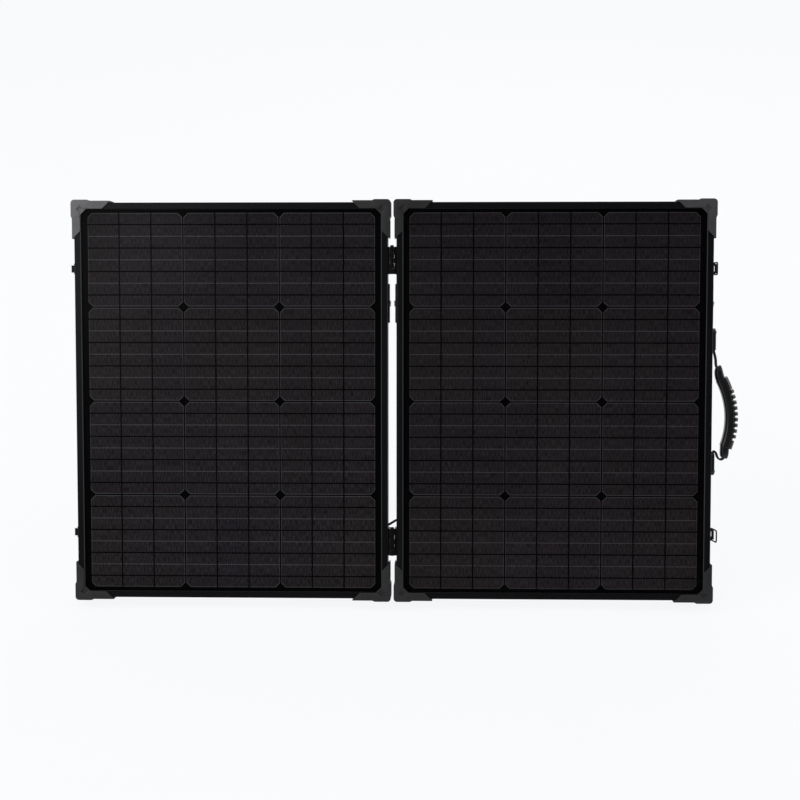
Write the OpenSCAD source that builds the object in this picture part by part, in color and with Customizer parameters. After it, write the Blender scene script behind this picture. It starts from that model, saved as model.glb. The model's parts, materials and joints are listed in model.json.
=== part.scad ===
// Folding two-panel briefcase solar panel for camping.
// Two framed glass panels hinged along their middle, each on its own kickstand,
// with two draw latches and a strap handle on the outer edge of the right panel.
//
// Each panel is drawn flat first: X runs outwards from the middle of the object,
// Y goes from the glass (0) to the back, Z goes up the panel. The right panel is
// drawn, the left one is its mirror image, and both are then leant back on their stands.

/* [Panel] */
// Width of one panel's frame
frame_w = 525; // [440:5:640]
// Height of one panel's frame
frame_h = 665; // [550:5:820]
// Depth of the frame
frame_d = 35; // [32:1:44]
// Gap between the two frames, which the hinges fill
frame_gap = 14.3; // [13.5:0.1:18]
// Lean of the opened panels, back from upright
lean = 24; // [20:0.5:32]

/* [Rails] */
// Width of a rail, seen from the front
rail_w = 11.5; // [10:0.5:16]
// Wall of the aluminium section
wall_t = 1.6; // [1.2:0.1:2.2]
// Thickness of the lip over the glass
lip_t = 1.8; // [1.4:0.1:2.5]

/* [Laminate] */
// Thickness of the glass
glass_t = 3.2; // [2.5:0.1:4]
// Thickness of the rubber gasket on each face of the glass
gasket_t = 0.4; // [0.3:0.1:0.8]
// Thickness of the cells
cell_t = 0.2; // [0.15:0.05:0.4]
// Thickness of the ribbons that join the cells
ribbon_t = 0.15; // [0.1:0.05:0.3]
// Thickness of the back sheet
backsheet_t = 0.45; // [0.3:0.05:0.8]
// Height of one cell, which is one side of a wafer
cell_h = 156.75; // [125:0.25:166]
// Strips that each wafer is cut into
strips_per_wafer = 3; // [2:1:4]
// Space between cells
cell_gap = 1.5; // [1:0.25:3]
// Cut-off at each corner of a wafer
wafer_chamfer = 8; // [4:0.5:12]
// Least space between the cells and the rails
cell_margin = 5; // [3:0.5:10]

/* [Corner guards] */
// How far a guard stands out from the frame's outer faces
guard_out = 4.6; // [3:0.1:6.5]
// How far a guard stands out from the front and the back
guard_front = 2.5; // [1.5:0.1:4]
// Length of a guard's arms
guard_arm = 63; // [50:1:75]
// Width of a guard's arms, seen from the front
guard_w = 15; // [12:0.5:18]
// Length of the thicker part at the corner
guard_heel = 22; // [18:1:30]

/* [Hinges] */
// Height of a hinge
hinge_h = 45.5; // [40:0.5:60]
// Distance from the frame's end to a hinge
hinge_inset = 74; // [68:1:100]
// Diameter of the hinge pin
pin_d = 4; // [3:0.5:5]
// Diameter of the knuckles
knuckle_d = 8; // [7:0.5:9]
// Thickness of a hinge leaf
leaf_t = 3; // [2:0.1:3]
// Depth of a hinge leaf on the side of the rail
leaf_depth = 24; // [20:1:28]

/* [Stand] */
// Distance from the frame's top to the stand's pivot
pivot_drop = 168; // [140:1:200]
// Width of a stand's legs
leg_w = 16; // [14:1:17]
// Thickness of a stand's legs
leg_t = 4; // [3:0.5:6]
// Diameter of the tube that joins the legs
crossbar_d = 14; // [10:1:16]
// Diameter of the pivot bolts
bolt_d = 6; // [5:0.5:8]
// Length of the plate that backs the pivot
pivot_plate_h = 65; // [50:1:80]

/* [Back box] */
// Width and height of the junction box
box_w = 110; // [90:1:130]
box_h = 74; // [60:1:90]
// Depth of the junction box behind the back sheet
box_d = 20; // [16:1:22]
// Diameter of the link cable
cable_d = 4; // [3:0.5:5]

/* [Latches] */
// Distance from the ends of the frame to the latches
latch_drop = 110.5; // [95:0.5:130]
// Height of a latch along the rail
latch_h = 22; // [18:1:28]
// Diameter of the latch's wire loop
bail_d = 2.4; // [2:0.1:3]

/* [Handle] */
// Distance from the middle of the panel to the mouth of each handle bracket
bracket_z = 87; // [80:1:100]
// Length of a handle bracket
bracket_h = 36; // [28:1:45]
// How far a handle bracket stands out from the rail
bracket_out = 6.5; // [5:0.5:9]
// Inner radius of the curved grip
grip_r = 131; // [120:1:150]
// Thickness of the grip, seen from the front
grip_t = 17; // [14:0.5:20]
// Width of the grip, across the frame's depth
grip_w = 22; // [18:1:24]
// Height of the finger ridges on the grip
ridge_out = 5; // [3:0.5:6]
// Number of finger ridges
ridges = 9; // [7:1:9]

/* [Hidden] */
$fn = 48;

// Clearances
run_fit = 0.05;      // radial, between a pin and the part that turns on it
side_fit = 0.2;      // beside a part that turns
hole_fit = 0.1;      // radial, around a fixed bolt or screw
key_fit = 0.1;       // around a key in a rail
edge_fit = 0.4;      // between parts of the two panels when folded
soft_fit = 0.5;      // around soft parts
over = 1;            // how far a cutter runs past a face

rail_chamfer = 0.8;                      // along both front edges of a rail

// The stack of the laminate, from the lip of the rail to the ledge behind it
glass_y = lip_t + gasket_t;
ribbon_y = glass_y + glass_t;
cell_y = ribbon_y + ribbon_t;
backsheet_y = cell_y + cell_t;
laminate_end = backsheet_y + backsheet_t;
groove_end = laminate_end + gasket_t;
chamber_y = groove_end + wall_t;
chamber_end = frame_d - wall_t;
glass_inset = 3.6;                       // from the frame's outer face to the glass edge
gasket_lap = 6;                          // how far the gasket laps the glass

// The cells: as many as fit between the rails
strip_w = cell_h / strips_per_wafer;
sight_w = frame_w - 2 * rail_w;
sight_h = frame_h - 2 * rail_w;
cols = floor((sight_w - 2 * cell_margin + cell_gap) / (strip_w + cell_gap));
rows = floor((sight_h - 2 * cell_margin + cell_gap) / (cell_h + cell_gap));
field_w = cols * (strip_w + cell_gap) - cell_gap;
field_h = rows * (cell_h + cell_gap) - cell_gap;
field_x = (frame_w - field_w) / 2;
field_z = (frame_h - field_h) / 2;
ribbon_w = 1.2;
ribbons_per_cell = 4;

// Guards
guard_end = frame_d + guard_front;       // back face of the guards
guard_r = 5;                             // outer corner radius
heel_extra = 1.2;                        // how much thicker the corner part is
guard_chamfer = 12;                      // inner corner
pocket_w = 8;                            // square pocket in the inner corner
guard_rib_w = 1;
guard_rib_t = 0.6;
guard_ribs_front = 4;
guard_ribs_side = 9;
rib_gap = 2;                             // from the thicker corner part to the ribs

// The latches, measured from the middle of the panel
latch_z = frame_h / 2 - latch_drop;

// The fold axis runs up the panels, in the middle of the gap and just in front of the guards
axis_y = -guard_front - guard_rib_t - edge_fit;
hinge_z = [hinge_inset, frame_h - hinge_inset - hinge_h];
knuckles = 5;
knuckle_h = hinge_h / knuckles;
pin_head = 2.5;
hinge_screw_d = 4;
hinge_screw_y = 11;
hinge_screw_pitch = 26;
screw_head_d = 7;
screw_head_t = 1.8;
screw_grip = 7;                          // length of a screw below its head

// Stand: a U of two legs and a tube that folds into the back of the frame
leg_side = 3.5;                          // from the rail to the leg
plate_t = 2.5;
plate_w = 18;
bolt_head_d = 11;
bolt_head_t = 2;
nut_t = 4;
spacer_d = 10;
heel_up = 10;                            // leg above its pivot, which meets the stop
stop_d = 5;
stop_up = 5;                             // where on the heel the stop bears
foot_clear = 7.5;                        // from the folded feet to the bottom rail
sole_t = 4;
foot_wall = 2;
foot_h = 28;
crossbar_up = 44;                        // crossbar above the sole
crossbar_wall = 1.5;
brace_drop = 150;                        // upper brace below the pivot
brace_h = 14;
brace_t = 3;
plate_gap = 2;                           // from a pivot's plate to the hinge and latch above it
pivot_y = frame_d - leg_w / 2 - 2.5;
// the pivots always stay below the hinges and the latches
pivot_least = max(hinge_inset + hinge_h, latch_drop + latch_h / 2) + pivot_plate_h / 2 + plate_gap;
pivot_z = frame_h - max(pivot_drop, pivot_least);
stand_len = pivot_z - rail_w - foot_clear;
leg_x = [rail_w + leg_side, frame_w - rail_w - leg_side - leg_t];

// The lean of the panel and the length of the stand set how far the stand opens
base_z = guard_end * sin(lean) + guard_out * cos(lean);
pivot_height = base_z - pivot_y * sin(lean) + pivot_z * cos(lean);
leg_tilt = acos(pivot_height / stand_len);
stand_open = lean + leg_tilt;
stop_off = leg_w / 2 + stop_d / 2 + run_fit;
stop_y = pivot_y - stop_off * cos(stand_open) - stop_up * sin(stand_open);
stop_z = pivot_z + stop_up * cos(stand_open) - stop_off * sin(stand_open);

// Junction box and link cable
box_x = 62;                              // from the inner rail's outer face
box_z = 92;
box_wall = 2;
lid_t = 2.5;
lid_screw_d = 3;
link_y = 12;                             // depth of the link cable
link_z = 128;
link_rise = 8;                           // how much higher the right end is
grommet_d = 7.4;
gland_d = 11;
gland_l = 12;
link_bow = 4;                            // how far the cable bows up inside each frame
// Half of the link cable's route: distance from the rail's gap side, and how far it bows up
LINK_HALF = [
  [box_x - gland_l - soft_fit, 0], [41, 0], [31, link_bow], [22, link_bow], [14, 0], [6, 0], [0, 0]
];
link_steps = 2;
link_sides = 8;

// Latches: u is the distance out from the rail's outer face
latch_base_t = 1.2;
latch_pivot_u = 3.9;
latch_pivot_y = 8;
latch_pin_d = 3;
ear_t = 1.2;
ear_r = 3.2;
lever_half = latch_h / 2 - 4.5;
lever_wall = 1.4;
lever_l = 20;
lever_top_t = 1.2;
lever_top_u = latch_pivot_u + 1.6;
bail_r = 5;                              // from the lever's pivot to the loop's pivot
bail_drop = 0.6;                         // how far the loop's pivot is below the lever's
bail_corner = 4;
bail_half = latch_h / 2 - bail_d / 2;
bail_end_z = lever_half - lever_wall - 0.6;      // inner end of the wire, just inside the lever's wall
bail_y = latch_pivot_y + bail_r;
bail_u = latch_pivot_u - bail_drop;
upper_bail_tilt = 0;                     // the upper latch lies flat, the lower one stands off a little
lower_bail_tilt = 8;
ear_z = lever_half + side_fit;
catch_post_y = 3.5;
catch_post_t = 3;
catch_lip = 7;
catch_lip_t = 1.2;
catch_half = 6;
catch_seat = catch_post_y + catch_post_t + bail_d / 2 + 0.5;
bail_reach = bail_y - 2 * axis_y + catch_seat;   // the loop just passes the catch when folded
latch_screw_y = 18;
catch_screw_y = 16;
latch_screw_pitch = 10;

// Handle: an arc in the X-Z plane, centred beside the rail
mid_z = frame_h / 2;
grip_x = frame_w - 107;                  // centre of the arc
grip_z = mid_z - 27.7;
grip_y = frame_d / 2;
grip_top = 28;                           // angles of the sleeve's ends
grip_bottom = -20;
core_top = 33;                           // angles of the core's ends
core_bottom = -28;
core_t = 13;
core_w = 16;
collar_t = 3.6;
collar_top = 8.5;
collar_bottom = 6.5;
ridge_top = 18.5;
ridge_pitch = 3.7;
ridge_angle = 2.4;
swing_u = 4;                             // the handle swings about this line by the rail
strap_t = 2.5;
strap_w = 12;
bracket_w = 18;
bracket_screw = 6;                       // from the bracket's far end to its screw
mouth_t = 3.4;
mouth_depth = 14;

// Where the whole object stands: the origin is under the middle of its box
handle_reach = grip_r + grip_t + ridge_out - 107;
right_reach = frame_gap / 2 + frame_w + handle_reach;
left_reach = frame_gap / 2 + frame_w + catch_post_y + catch_post_t;
foot_back = pivot_y * cos(lean) + pivot_z * sin(lean) + stand_len * sin(leg_tilt) + leg_w / 2;
front_reach = guard_front * cos(lean) + guard_out * sin(lean);
shift_x = (left_reach - right_reach) / 2;
shift_y = (front_reach - foot_back) / 2;

// ---- Placing ----

// Leans the flat model back and stands it on the floor
module stand_up() {
  translate([shift_x, shift_y, base_z]) rotate([-lean, 0, 0]) children();
}

// Draws one panel's part on its own side: side is 1 for the right, -1 for the left
module on_side(side) {
  stand_up()
    mirror([side < 0 ? 1 : 0, 0, 0])
      translate([frame_gap / 2, 0, 0]) children();
}

// Swaps X and Z, which turns a bottom rail into a side rail
module swap_xz() { mirror([1, 0, -1]) children(); }

// Cylinder along X from x = 0
module rod_x(d, l) { rotate([0, 90, 0]) cylinder(d = d, h = l); }

// ---- Rails ----

// Section of a rail: first coordinate is depth, second is distance from the outer face
module rail_section() {
  c = rail_chamfer;
  difference() {
    square([frame_d, rail_w]);
    polygon([[-over, -over], [c + over, -over], [-over, c + over]]);
    polygon([[-over, rail_w + over], [c + over, rail_w + over], [-over, rail_w - c - over]]);
    translate([lip_t, wall_t]) square([groove_end - lip_t, rail_w]);
    translate([chamber_y, wall_t]) square([chamber_end - chamber_y, rail_w - 2 * wall_t]);
  }
}

// Cuts the mitre at the start of a rail: everything with x < z goes
module mitre_cut() {
  translate([0, frame_d + over, 0]) rotate([90, 0, 0]) linear_extrude(frame_d + 2 * over)
    polygon([[-over, -over], [rail_w + over, rail_w + over], [-over, rail_w + over]]);
}

// A mitred rail along X with its outer face on z = 0
module rail(len) {
  difference() {
    rotate([90, 0, 90]) linear_extrude(len) rail_section();
    mitre_cut();
    translate([len, 0, 0]) mirror([1, 0, 0]) mitre_cut();
  }
}

module black_aluminium() { color([0.09, 0.09, 0.1]) children(); }

module bottom_rail() { black_aluminium() rail(frame_w); }

module top_rail() { black_aluminium() translate([0, 0, frame_h]) mirror([0, 0, 1]) rail(frame_w); }

// Holes for the stand's bolt and stop, right through a side rail lying on x = 0
module pivot_holes() {
  translate([-over, pivot_y, pivot_z]) rod_x(bolt_d + 2 * hole_fit, rail_w + 2 * over);
  translate([-over, stop_y, stop_z]) rod_x(stop_d + 2 * hole_fit, rail_w + 2 * over);
}

module inner_rail(side) {
  black_aluminium() difference() {
    swap_xz() rail(frame_h);
    pivot_holes();
    at_hinge_screws() translate([-over, 0, 0]) rod_x(hinge_screw_d + 2 * hole_fit, wall_t + 2 * over);
    translate([-over, link_y, link_hole_z(side)]) rod_x(grommet_d, rail_w + 2 * over);
  }
}

mount_d = 6.6;
mount_inset = 150;

module outer_rail(side) {
  black_aluminium() translate([frame_w, 0, 0]) mirror([1, 0, 0]) difference() {
    swap_xz() rail(frame_h);
    pivot_holes();
    for (z = [mount_inset, frame_h - mount_inset])
      translate([rail_w / 2, frame_d + over, z]) rotate([90, 0, 0])
        cylinder(d = mount_d, h = wall_t + 2 * over);
    if (side > 0) {
      at_latch_screws(latch_screw_y) side_hole();
      at_bracket_screws() side_hole();
    } else {
      at_latch_screws(catch_screw_y) side_hole();
    }
  }
}

// Hole in the outer wall for a screw
module side_hole() { translate([-over, 0, 0]) rod_x(hinge_screw_d + 2 * hole_fit, wall_t + 2 * over); }

// L-shaped keys that join the rails inside their chambers
module corner_keys() {
  key_w = rail_w - 2 * wall_t - 2 * key_fit;
  key_d = chamber_end - chamber_y - 2 * key_fit;
  key_l = 42;
  at = wall_t + key_fit;
  color("dimgray") for (mx = [0, 1], mz = [0, 1])
    translate([mx * frame_w, 0, mz * frame_h]) mirror([mx, 0, 0]) mirror([0, 0, mz])
      translate([at, chamber_y + key_fit, at]) {
        cube([key_l, key_d, key_w]);
        cube([key_w, key_d, key_l]);
      }
}

// ---- Laminate ----

// A plate with its edge inset by d from the frame's outer faces
module inset_plate(d, y, t) {
  translate([d, y, d]) cube([frame_w - 2 * d, t, frame_h - 2 * d]);
}

module glass() { color([0.5, 0.6, 0.7, 0.3]) inset_plate(glass_inset, glass_y, glass_t); }

module backsheet() { color([0.05, 0.05, 0.06]) inset_plate(glass_inset, backsheet_y, backsheet_t); }

// C-shaped rubber edge around the laminate
module gasket() {
  color([0.03, 0.03, 0.03]) difference() {
    inset_plate(wall_t + key_fit, lip_t, groove_end - lip_t);
    inset_plate(glass_inset, glass_y, laminate_end - glass_y);
    inset_plate(glass_inset + gasket_lap, lip_t - over, groove_end - lip_t + 2 * over);
  }
}

// One strip of a wafer, with the wafer's cut corners where it has them
module cell(first, last) {
  c = wafer_chamfer;
  a = first ? c : 0;
  b = last ? c : 0;
  polygon(concat(
    first ? [[c, 0], [0, c], [0, cell_h - c], [c, cell_h]] : [[0, 0], [0, cell_h]],
    last ? [[strip_w - c, cell_h], [strip_w, cell_h - c], [strip_w, c], [strip_w - c, 0]]
         : [[strip_w, cell_h], [strip_w, 0]]));
}

module cells() {
  color([0.07, 0.06, 0.09]) for (i = [0 : cols - 1], j = [0 : rows - 1])
    translate([field_x + i * (strip_w + cell_gap), cell_y + cell_t, field_z + j * (cell_h + cell_gap)])
      rotate([90, 0, 0]) linear_extrude(cell_t)
        cell(i % strips_per_wafer == 0, i % strips_per_wafer == strips_per_wafer - 1);
}

// Flat ribbons that run across each row of cells, between them and the glass
module ribbons() {
  color("dimgray") for (j = [0 : rows - 1], k = [0 : ribbons_per_cell - 1])
    translate([field_x, ribbon_y,
               field_z + j * (cell_h + cell_gap) + (k + 0.5) * cell_h / ribbons_per_cell - ribbon_w / 2])
      cube([field_w, ribbon_t, ribbon_w]);
}

// ---- Corner guards ----

// Outline of a guard in the X-Z plane, with the corner at the origin
module guard_outline(w, arm) {
  translate([guard_r, guard_r]) circle(guard_r);
  difference() {
    union() {
      translate([guard_r, 0]) square([arm - guard_r, w]);
      translate([0, guard_r]) square([w, arm - guard_r]);
      polygon([[w, w + guard_chamfer], [w, w], [w + guard_chamfer, w]]);
    }
    // arm ends cut at 45 degrees
    polygon([[arm + over, -over], [arm + over, w + over], [arm - w - over, w + over]]);
    polygon([[-over, arm + over], [w + over, arm + over], [w + over, arm - w - over]]);
    // square pocket in the inner corner
    translate([w + guard_chamfer / 2, w + guard_chamfer / 2]) rotate(45) square(pocket_w, center = true);
  }
}

// Raised ribs along the front and the outer face of one arm
module guard_ribs() {
  rib_l = guard_arm - guard_w - guard_heel - 2 * rib_gap;
  pitch = guard_w / (guard_ribs_front + 1);
  for (k = [1 : guard_ribs_front])
    translate([guard_heel + rib_gap, -guard_front - guard_rib_t, k * pitch - guard_rib_w / 2])
      cube([rib_l + k * pitch, 2 * guard_rib_t, guard_rib_w]);
  side_pitch = (guard_end + guard_front) / (guard_ribs_side + 1);
  for (k = [1 : guard_ribs_side])
    translate([guard_heel + rib_gap, -guard_front + k * side_pitch - guard_rib_w / 2, -guard_rib_t])
      cube([rib_l + guard_w / 2, guard_rib_w, 2 * guard_rib_t]);
}

// Moulded guard on the corner at the origin, arms along +X and +Z
module guard() {
  depth = guard_end + guard_front;
  translate([-guard_out, 0, -guard_out]) difference() {
    union() {
      translate([0, guard_end, 0]) rotate([90, 0, 0]) linear_extrude(depth) guard_outline(guard_w, guard_arm);
      translate([0, guard_end, 0]) rotate([90, 0, 0]) linear_extrude(depth + guard_rib_t)
        guard_outline(guard_w + heel_extra, guard_heel + guard_w);
      guard_ribs();
      swap_xz() guard_ribs();
    }
    translate([guard_out, 0, guard_out]) cube([guard_arm * 2, frame_d, guard_arm * 2]);
  }
}

module black_plastic() { color([0.07, 0.07, 0.08]) children(); }

// top and outer say which corner of the panel the guard is on
module corner_guard(top, outer) {
  black_plastic() translate([outer * frame_w, 0, top * frame_h])
    mirror([outer, 0, 0]) mirror([0, 0, top]) guard();
}

// ---- Hinges ----

// Puts its children at each hinge screw on the gap side of the inner rail
module at_hinge_screws() {
  for (z = hinge_z, s = [-1, 1])
    translate([0, hinge_screw_y, z + hinge_h / 2 + s * hinge_screw_pitch / 2]) children();
}

// Leaves on one panel: the right panel holds knuckles 0, 2, 4 and the left one 1, 3
module hinge_leaves(side) {
  first = side > 0 ? 0 : 1;
  arm_y = knuckle_d / 2;
  black_plastic() difference() {
    for (z = hinge_z) translate([0, axis_y, z]) {
      translate([-leaf_t, side_fit, 0]) cube([leaf_t, leaf_depth - side_fit, hinge_h]);
      for (k = [first : 2 : knuckles - 1]) translate([0, 0, k * knuckle_h + side_fit / 2])
        difference() {
          union() {
            translate([-frame_gap / 2, 0, 0]) cylinder(d = knuckle_d, h = knuckle_h - side_fit);
            translate([-frame_gap / 2, side_fit, 0])
              cube([frame_gap / 2, arm_y - side_fit, knuckle_h - side_fit]);
          }
          translate([-frame_gap / 2, 0, -over])
            cylinder(d = pin_d + (side > 0 ? 0 : 2 * run_fit), h = knuckle_h + 2 * over);
        }
    }
    at_hinge_screws() translate([-leaf_t - over, 0, 0])
      rod_x(hinge_screw_d + 2 * hole_fit, leaf_t + 2 * over);
  }
}

module hinge_pins() {
  color("silver") stand_up() for (z = hinge_z) translate([0, axis_y, z]) {
    cylinder(d = pin_d, h = hinge_h);
    translate([0, 0, hinge_h]) cylinder(d = pin_d + 2, h = pin_head);
  }
}

// A screw along +X with its head standing on x = 0
module screw(d, grip, head_t = screw_head_t) {
  difference() {
    translate([-head_t, 0, 0]) rod_x(screw_head_d * d / hinge_screw_d, head_t);
    // hexagon socket
    translate([-head_t - over, 0, 0]) rotate([0, 90, 0])
      cylinder(d = d * 0.6, h = head_t / 2 + over, $fn = 6);
  }
  rod_x(d, grip);
}

module screws(side) {
  color("gray") {
    at_hinge_screws() translate([-leaf_t, 0, 0]) screw(hinge_screw_d, screw_grip);
    at_lid_screws() rotate([0, 0, -90]) screw(lid_screw_d, 6);
    translate([frame_w, 0, 0]) mirror([1, 0, 0])
      if (side > 0) {
        at_latch_screws(latch_screw_y) translate([-latch_base_t, 0, 0])
          screw(hinge_screw_d, screw_grip - 2, screw_head_t / 2);
        at_bracket_screws() translate([-bracket_out, 0, 0]) screw(hinge_screw_d, screw_grip + 4);
      } else {
        at_latch_screws(catch_screw_y) translate([-latch_base_t, 0, 0]) screw(hinge_screw_d, screw_grip - 2);
      }
  }
}

// ---- Stand ----

module pivot_plate() {
  translate([-plate_t, pivot_y - plate_w / 2, pivot_z - pivot_plate_h / 2]) difference() {
    cube([plate_t, plate_w, pivot_plate_h]);
    translate([-over, plate_w / 2, pivot_plate_h / 2]) rod_x(bolt_d + 2 * hole_fit, plate_t + 2 * over);
  }
}

// Repeats its children on both side rails of a panel
module both_rails() {
  children();
  translate([frame_w, 0, 0]) mirror([1, 0, 0]) children();
}

module pivot_plates() { color([0.12, 0.12, 0.13]) both_rails() pivot_plate(); }

module stand_pivots() {
  bolt_l = plate_t + rail_w + leg_side + leg_t + side_fit + nut_t;
  color("silver") both_rails() {
    translate([-plate_t, pivot_y, pivot_z]) {
      translate([-bolt_head_t, 0, 0]) rod_x(bolt_head_d, bolt_head_t);
      rod_x(bolt_d, bolt_l);
      translate([plate_t + rail_w, 0, 0]) rod_x(spacer_d, leg_side - side_fit);
      translate([bolt_l - nut_t, 0, 0]) rotate([0, 90, 0]) cylinder(d = bolt_d + 5, h = nut_t, $fn = 6);
    }
    translate([0, stop_y, stop_z]) rod_x(stop_d, rail_w + leg_side + leg_t);
  }
}

// Places the stand, drawn hanging from its pivot at the origin, at its open angle
module open_stand() { translate([0, pivot_y, pivot_z]) rotate([stand_open, 0, 0]) children(); }

module stand_frame() {
  leg_l = stand_len - sole_t;
  inside = leg_x[1] - leg_x[0] - leg_t;
  color([0.75, 0.76, 0.78]) open_stand() {
    difference() {
      for (x = leg_x) translate([x, -leg_w / 2, -leg_l]) cube([leg_t, leg_w, leg_l + heel_up]);
      for (x = leg_x) translate([x - over, 0, 0]) rod_x(bolt_d + 2 * run_fit, leg_t + 2 * over);
    }
    translate([leg_x[0] + leg_t, 0, -stand_len + crossbar_up]) difference() {
      rod_x(crossbar_d, inside);
      translate([-over, 0, 0]) rod_x(crossbar_d - 2 * crossbar_wall, inside + 2 * over);
    }
    translate([leg_x[0] + leg_t, -brace_t / 2, -brace_drop - brace_h / 2]) cube([inside, brace_t, brace_h]);
  }
}

// Rubber feet on the ends of the legs, cut level with the floor
module stand_feet() {
  color([0.05, 0.05, 0.05]) open_stand() for (x = leg_x) difference() {
    translate([x - foot_wall, -leg_w / 2 - foot_wall, -stand_len - sole_t])
      cube([leg_t + 2 * foot_wall, leg_w + 2 * foot_wall, foot_h]);
    translate([x, -leg_w / 2, -stand_len + sole_t]) cube([leg_t, leg_w, foot_h]);
    translate([x - 2 * foot_wall, 0, -stand_len]) rotate([-leg_tilt, 0, 0])
      translate([0, -2 * leg_w, -leg_w]) cube([leg_t + 4 * foot_wall, 4 * leg_w, leg_w]);
  }
}

// ---- Junction box ----

function link_hole_z(side) = link_z + side * link_rise / 2;

// Puts its children at the lid's screws, on the back face of the lid
module at_lid_screws() {
  for (i = [0, 1], j = [0, 1])
    translate([box_x + 6 + i * (box_w - 12), laminate_end + box_d, box_z + 6 + j * (box_h - 12)]) children();
}

module junction_box(side) {
  black_plastic() difference() {
    union() {
      translate([box_x, laminate_end, box_z]) difference() {
        cube([box_w, box_d - lid_t, box_h]);
        translate([box_wall, box_wall, box_wall])
          cube([box_w - 2 * box_wall, box_d, box_h - 2 * box_wall]);
      }
      // bosses for the lid's screws
      at_lid_screws() translate([0, -lid_t, 0]) rotate([90, 0, 0]) cylinder(d = 7, h = box_d - lid_t - over);
    }
    at_lid_screws() rotate([90, 0, 0]) cylinder(d = lid_screw_d + 2 * hole_fit, h = 7);
    translate([box_x - over, link_y, link_hole_z(side)])
      rod_x(gland_d - 3 + 2 * hole_fit, box_wall + 2 * over);
  }
}

module junction_lid() {
  black_plastic() difference() {
    translate([box_x, laminate_end + box_d - lid_t, box_z]) cube([box_w, lid_t, box_h]);
    at_lid_screws() translate([0, over, 0]) rotate([90, 0, 0])
      cylinder(d = lid_screw_d + 2 * hole_fit, h = lid_t + 2 * over);
  }
}

// Bypass diodes and their terminal strips
module diodes() {
  y = laminate_end + box_wall;
  pitch = (box_w - 40) / 3;
  for (k = [0 : 3]) translate([box_x + 20 + k * pitch - 4, y, box_z + 16])
    color("goldenrod") cube([8, 1.2, box_h - 32]);
  for (k = [0 : 2]) translate([box_x + 20 + k * pitch, y + 1.2 + 2.5, box_z + 26]) color("black") {
    translate([pitch / 2 - 5, 0, 0]) rod_x(5, 10);
    rod_x(1.2, pitch);
  }
}

// The box's cable gland and the grommets in the inner rail
module cable_gland(side) {
  z = link_hole_z(side);
  color([0.06, 0.06, 0.06]) {
    translate([box_x - gland_l, link_y, z]) difference() {
      union() {
        rod_x(gland_d - 3, gland_l + box_wall);
        translate([gland_l - 5, 0, 0]) rotate([0, 90, 0]) cylinder(d = gland_d, h = 5, $fn = 6);
        rod_x(gland_d - 1, 4);
      }
      translate([-over, 0, 0]) rod_x(cable_d, gland_l + box_wall + 2 * over);
    }
    for (x = [0, rail_w - wall_t]) translate([x, link_y, z]) difference() {
      rod_x(grommet_d, wall_t);
      translate([-over, 0, 0]) rod_x(cable_d + 2 * soft_fit, wall_t + 2 * over);
    }
  }
}

// Point at parameter t between p1 and p2 on a smooth curve through p0..p3
function on_curve(p0, p1, p2, p3, t) =
  0.5 * (2 * p1 + (p2 - p0) * t + (2 * p0 - 5 * p1 + 4 * p2 - p3) * t * t
         + (3 * p1 - p0 - 3 * p2 + p3) * t * t * t);
function route_point(r, i) = r[max(0, min(len(r) - 1, i))];
function smooth_route(r, n) = concat(
  [for (i = [0 : len(r) - 2], k = [0 : n - 1])
    on_curve(route_point(r, i - 1), r[i], r[i + 1], route_point(r, i + 2), k / n)],
  [r[len(r) - 1]]);

// A round tube swept along a route that runs mainly along -X
module tube(route, d, sides) {
  n = len(route);
  function along(i) = let (v = route_point(route, i + 1) - route_point(route, i - 1)) v / norm(v);
  function ring(i) = let (t = along(i), a = [0, 1, 0], b = cross(t, a))
    [for (k = [0 : sides - 1]) route[i] + d / 2 * (cos(360 * k / sides) * a + sin(360 * k / sides) * b)];
  polyhedron(
    points = [for (i = [0 : n - 1]) each ring(i)],
    faces = concat(
      [[for (k = [0 : sides - 1]) k]],
      [for (i = [0 : n - 2], k = [0 : sides - 1]) let (m = (k + 1) % sides)
        [i * sides + k, (i + 1) * sides + k, (i + 1) * sides + m, i * sides + m]],
      [[for (k = [sides - 1 : -1 : 0]) (n - 1) * sides + k]]));
}

// Half of the link cable's route on one side, from the box to the gap
function link_half(side) =
  [for (p = LINK_HALF) [side * (frame_gap / 2 + p[0]), link_y, link_hole_z(side) + p[1]]];
function reversed(list) = [for (i = [len(list) - 1 : -1 : 0]) list[i]];

module link_cable() {
  route = concat(link_half(1), [[0, link_y, link_z]], reversed(link_half(-1)));
  color([0.04, 0.04, 0.04]) stand_up() tube(smooth_route(route, link_steps), cable_d, link_sides);
}

// ---- Latches ----

// Puts its children at each screw of the latches or catches, on an outer rail lying on x = 0
module at_latch_screws(y) {
  for (z = [mid_z - latch_z, mid_z + latch_z], s = [-1, 1])
    translate([0, y, z + s * latch_screw_pitch / 2]) children();
}

// Puts its children at the middle of each latch, on the outer face of the outer rail
module at_latches() { for (z = [mid_z - latch_z, mid_z + latch_z]) translate([frame_w, 0, z]) children(); }

// Base plate with two ears that hold the lever's pin
module latch_base() {
  base_l = latch_screw_y + 5;
  difference() {
    union() {
      translate([0, latch_pivot_y - ear_r, -latch_h / 2 + 1])
        cube([latch_base_t, base_l - latch_pivot_y + ear_r, latch_h - 2]);
      for (z = [-ear_z - ear_t, ear_z]) translate([0, 0, z]) {
        translate([0, latch_pivot_y - ear_r, 0]) cube([latch_pivot_u, 2 * ear_r, ear_t]);
        translate([latch_pivot_u, latch_pivot_y, 0]) cylinder(r = ear_r, h = ear_t);
      }
    }
    translate([latch_pivot_u, latch_pivot_y, -latch_h])
      cylinder(d = latch_pin_d + 2 * run_fit, h = 2 * latch_h);
  }
}

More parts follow.
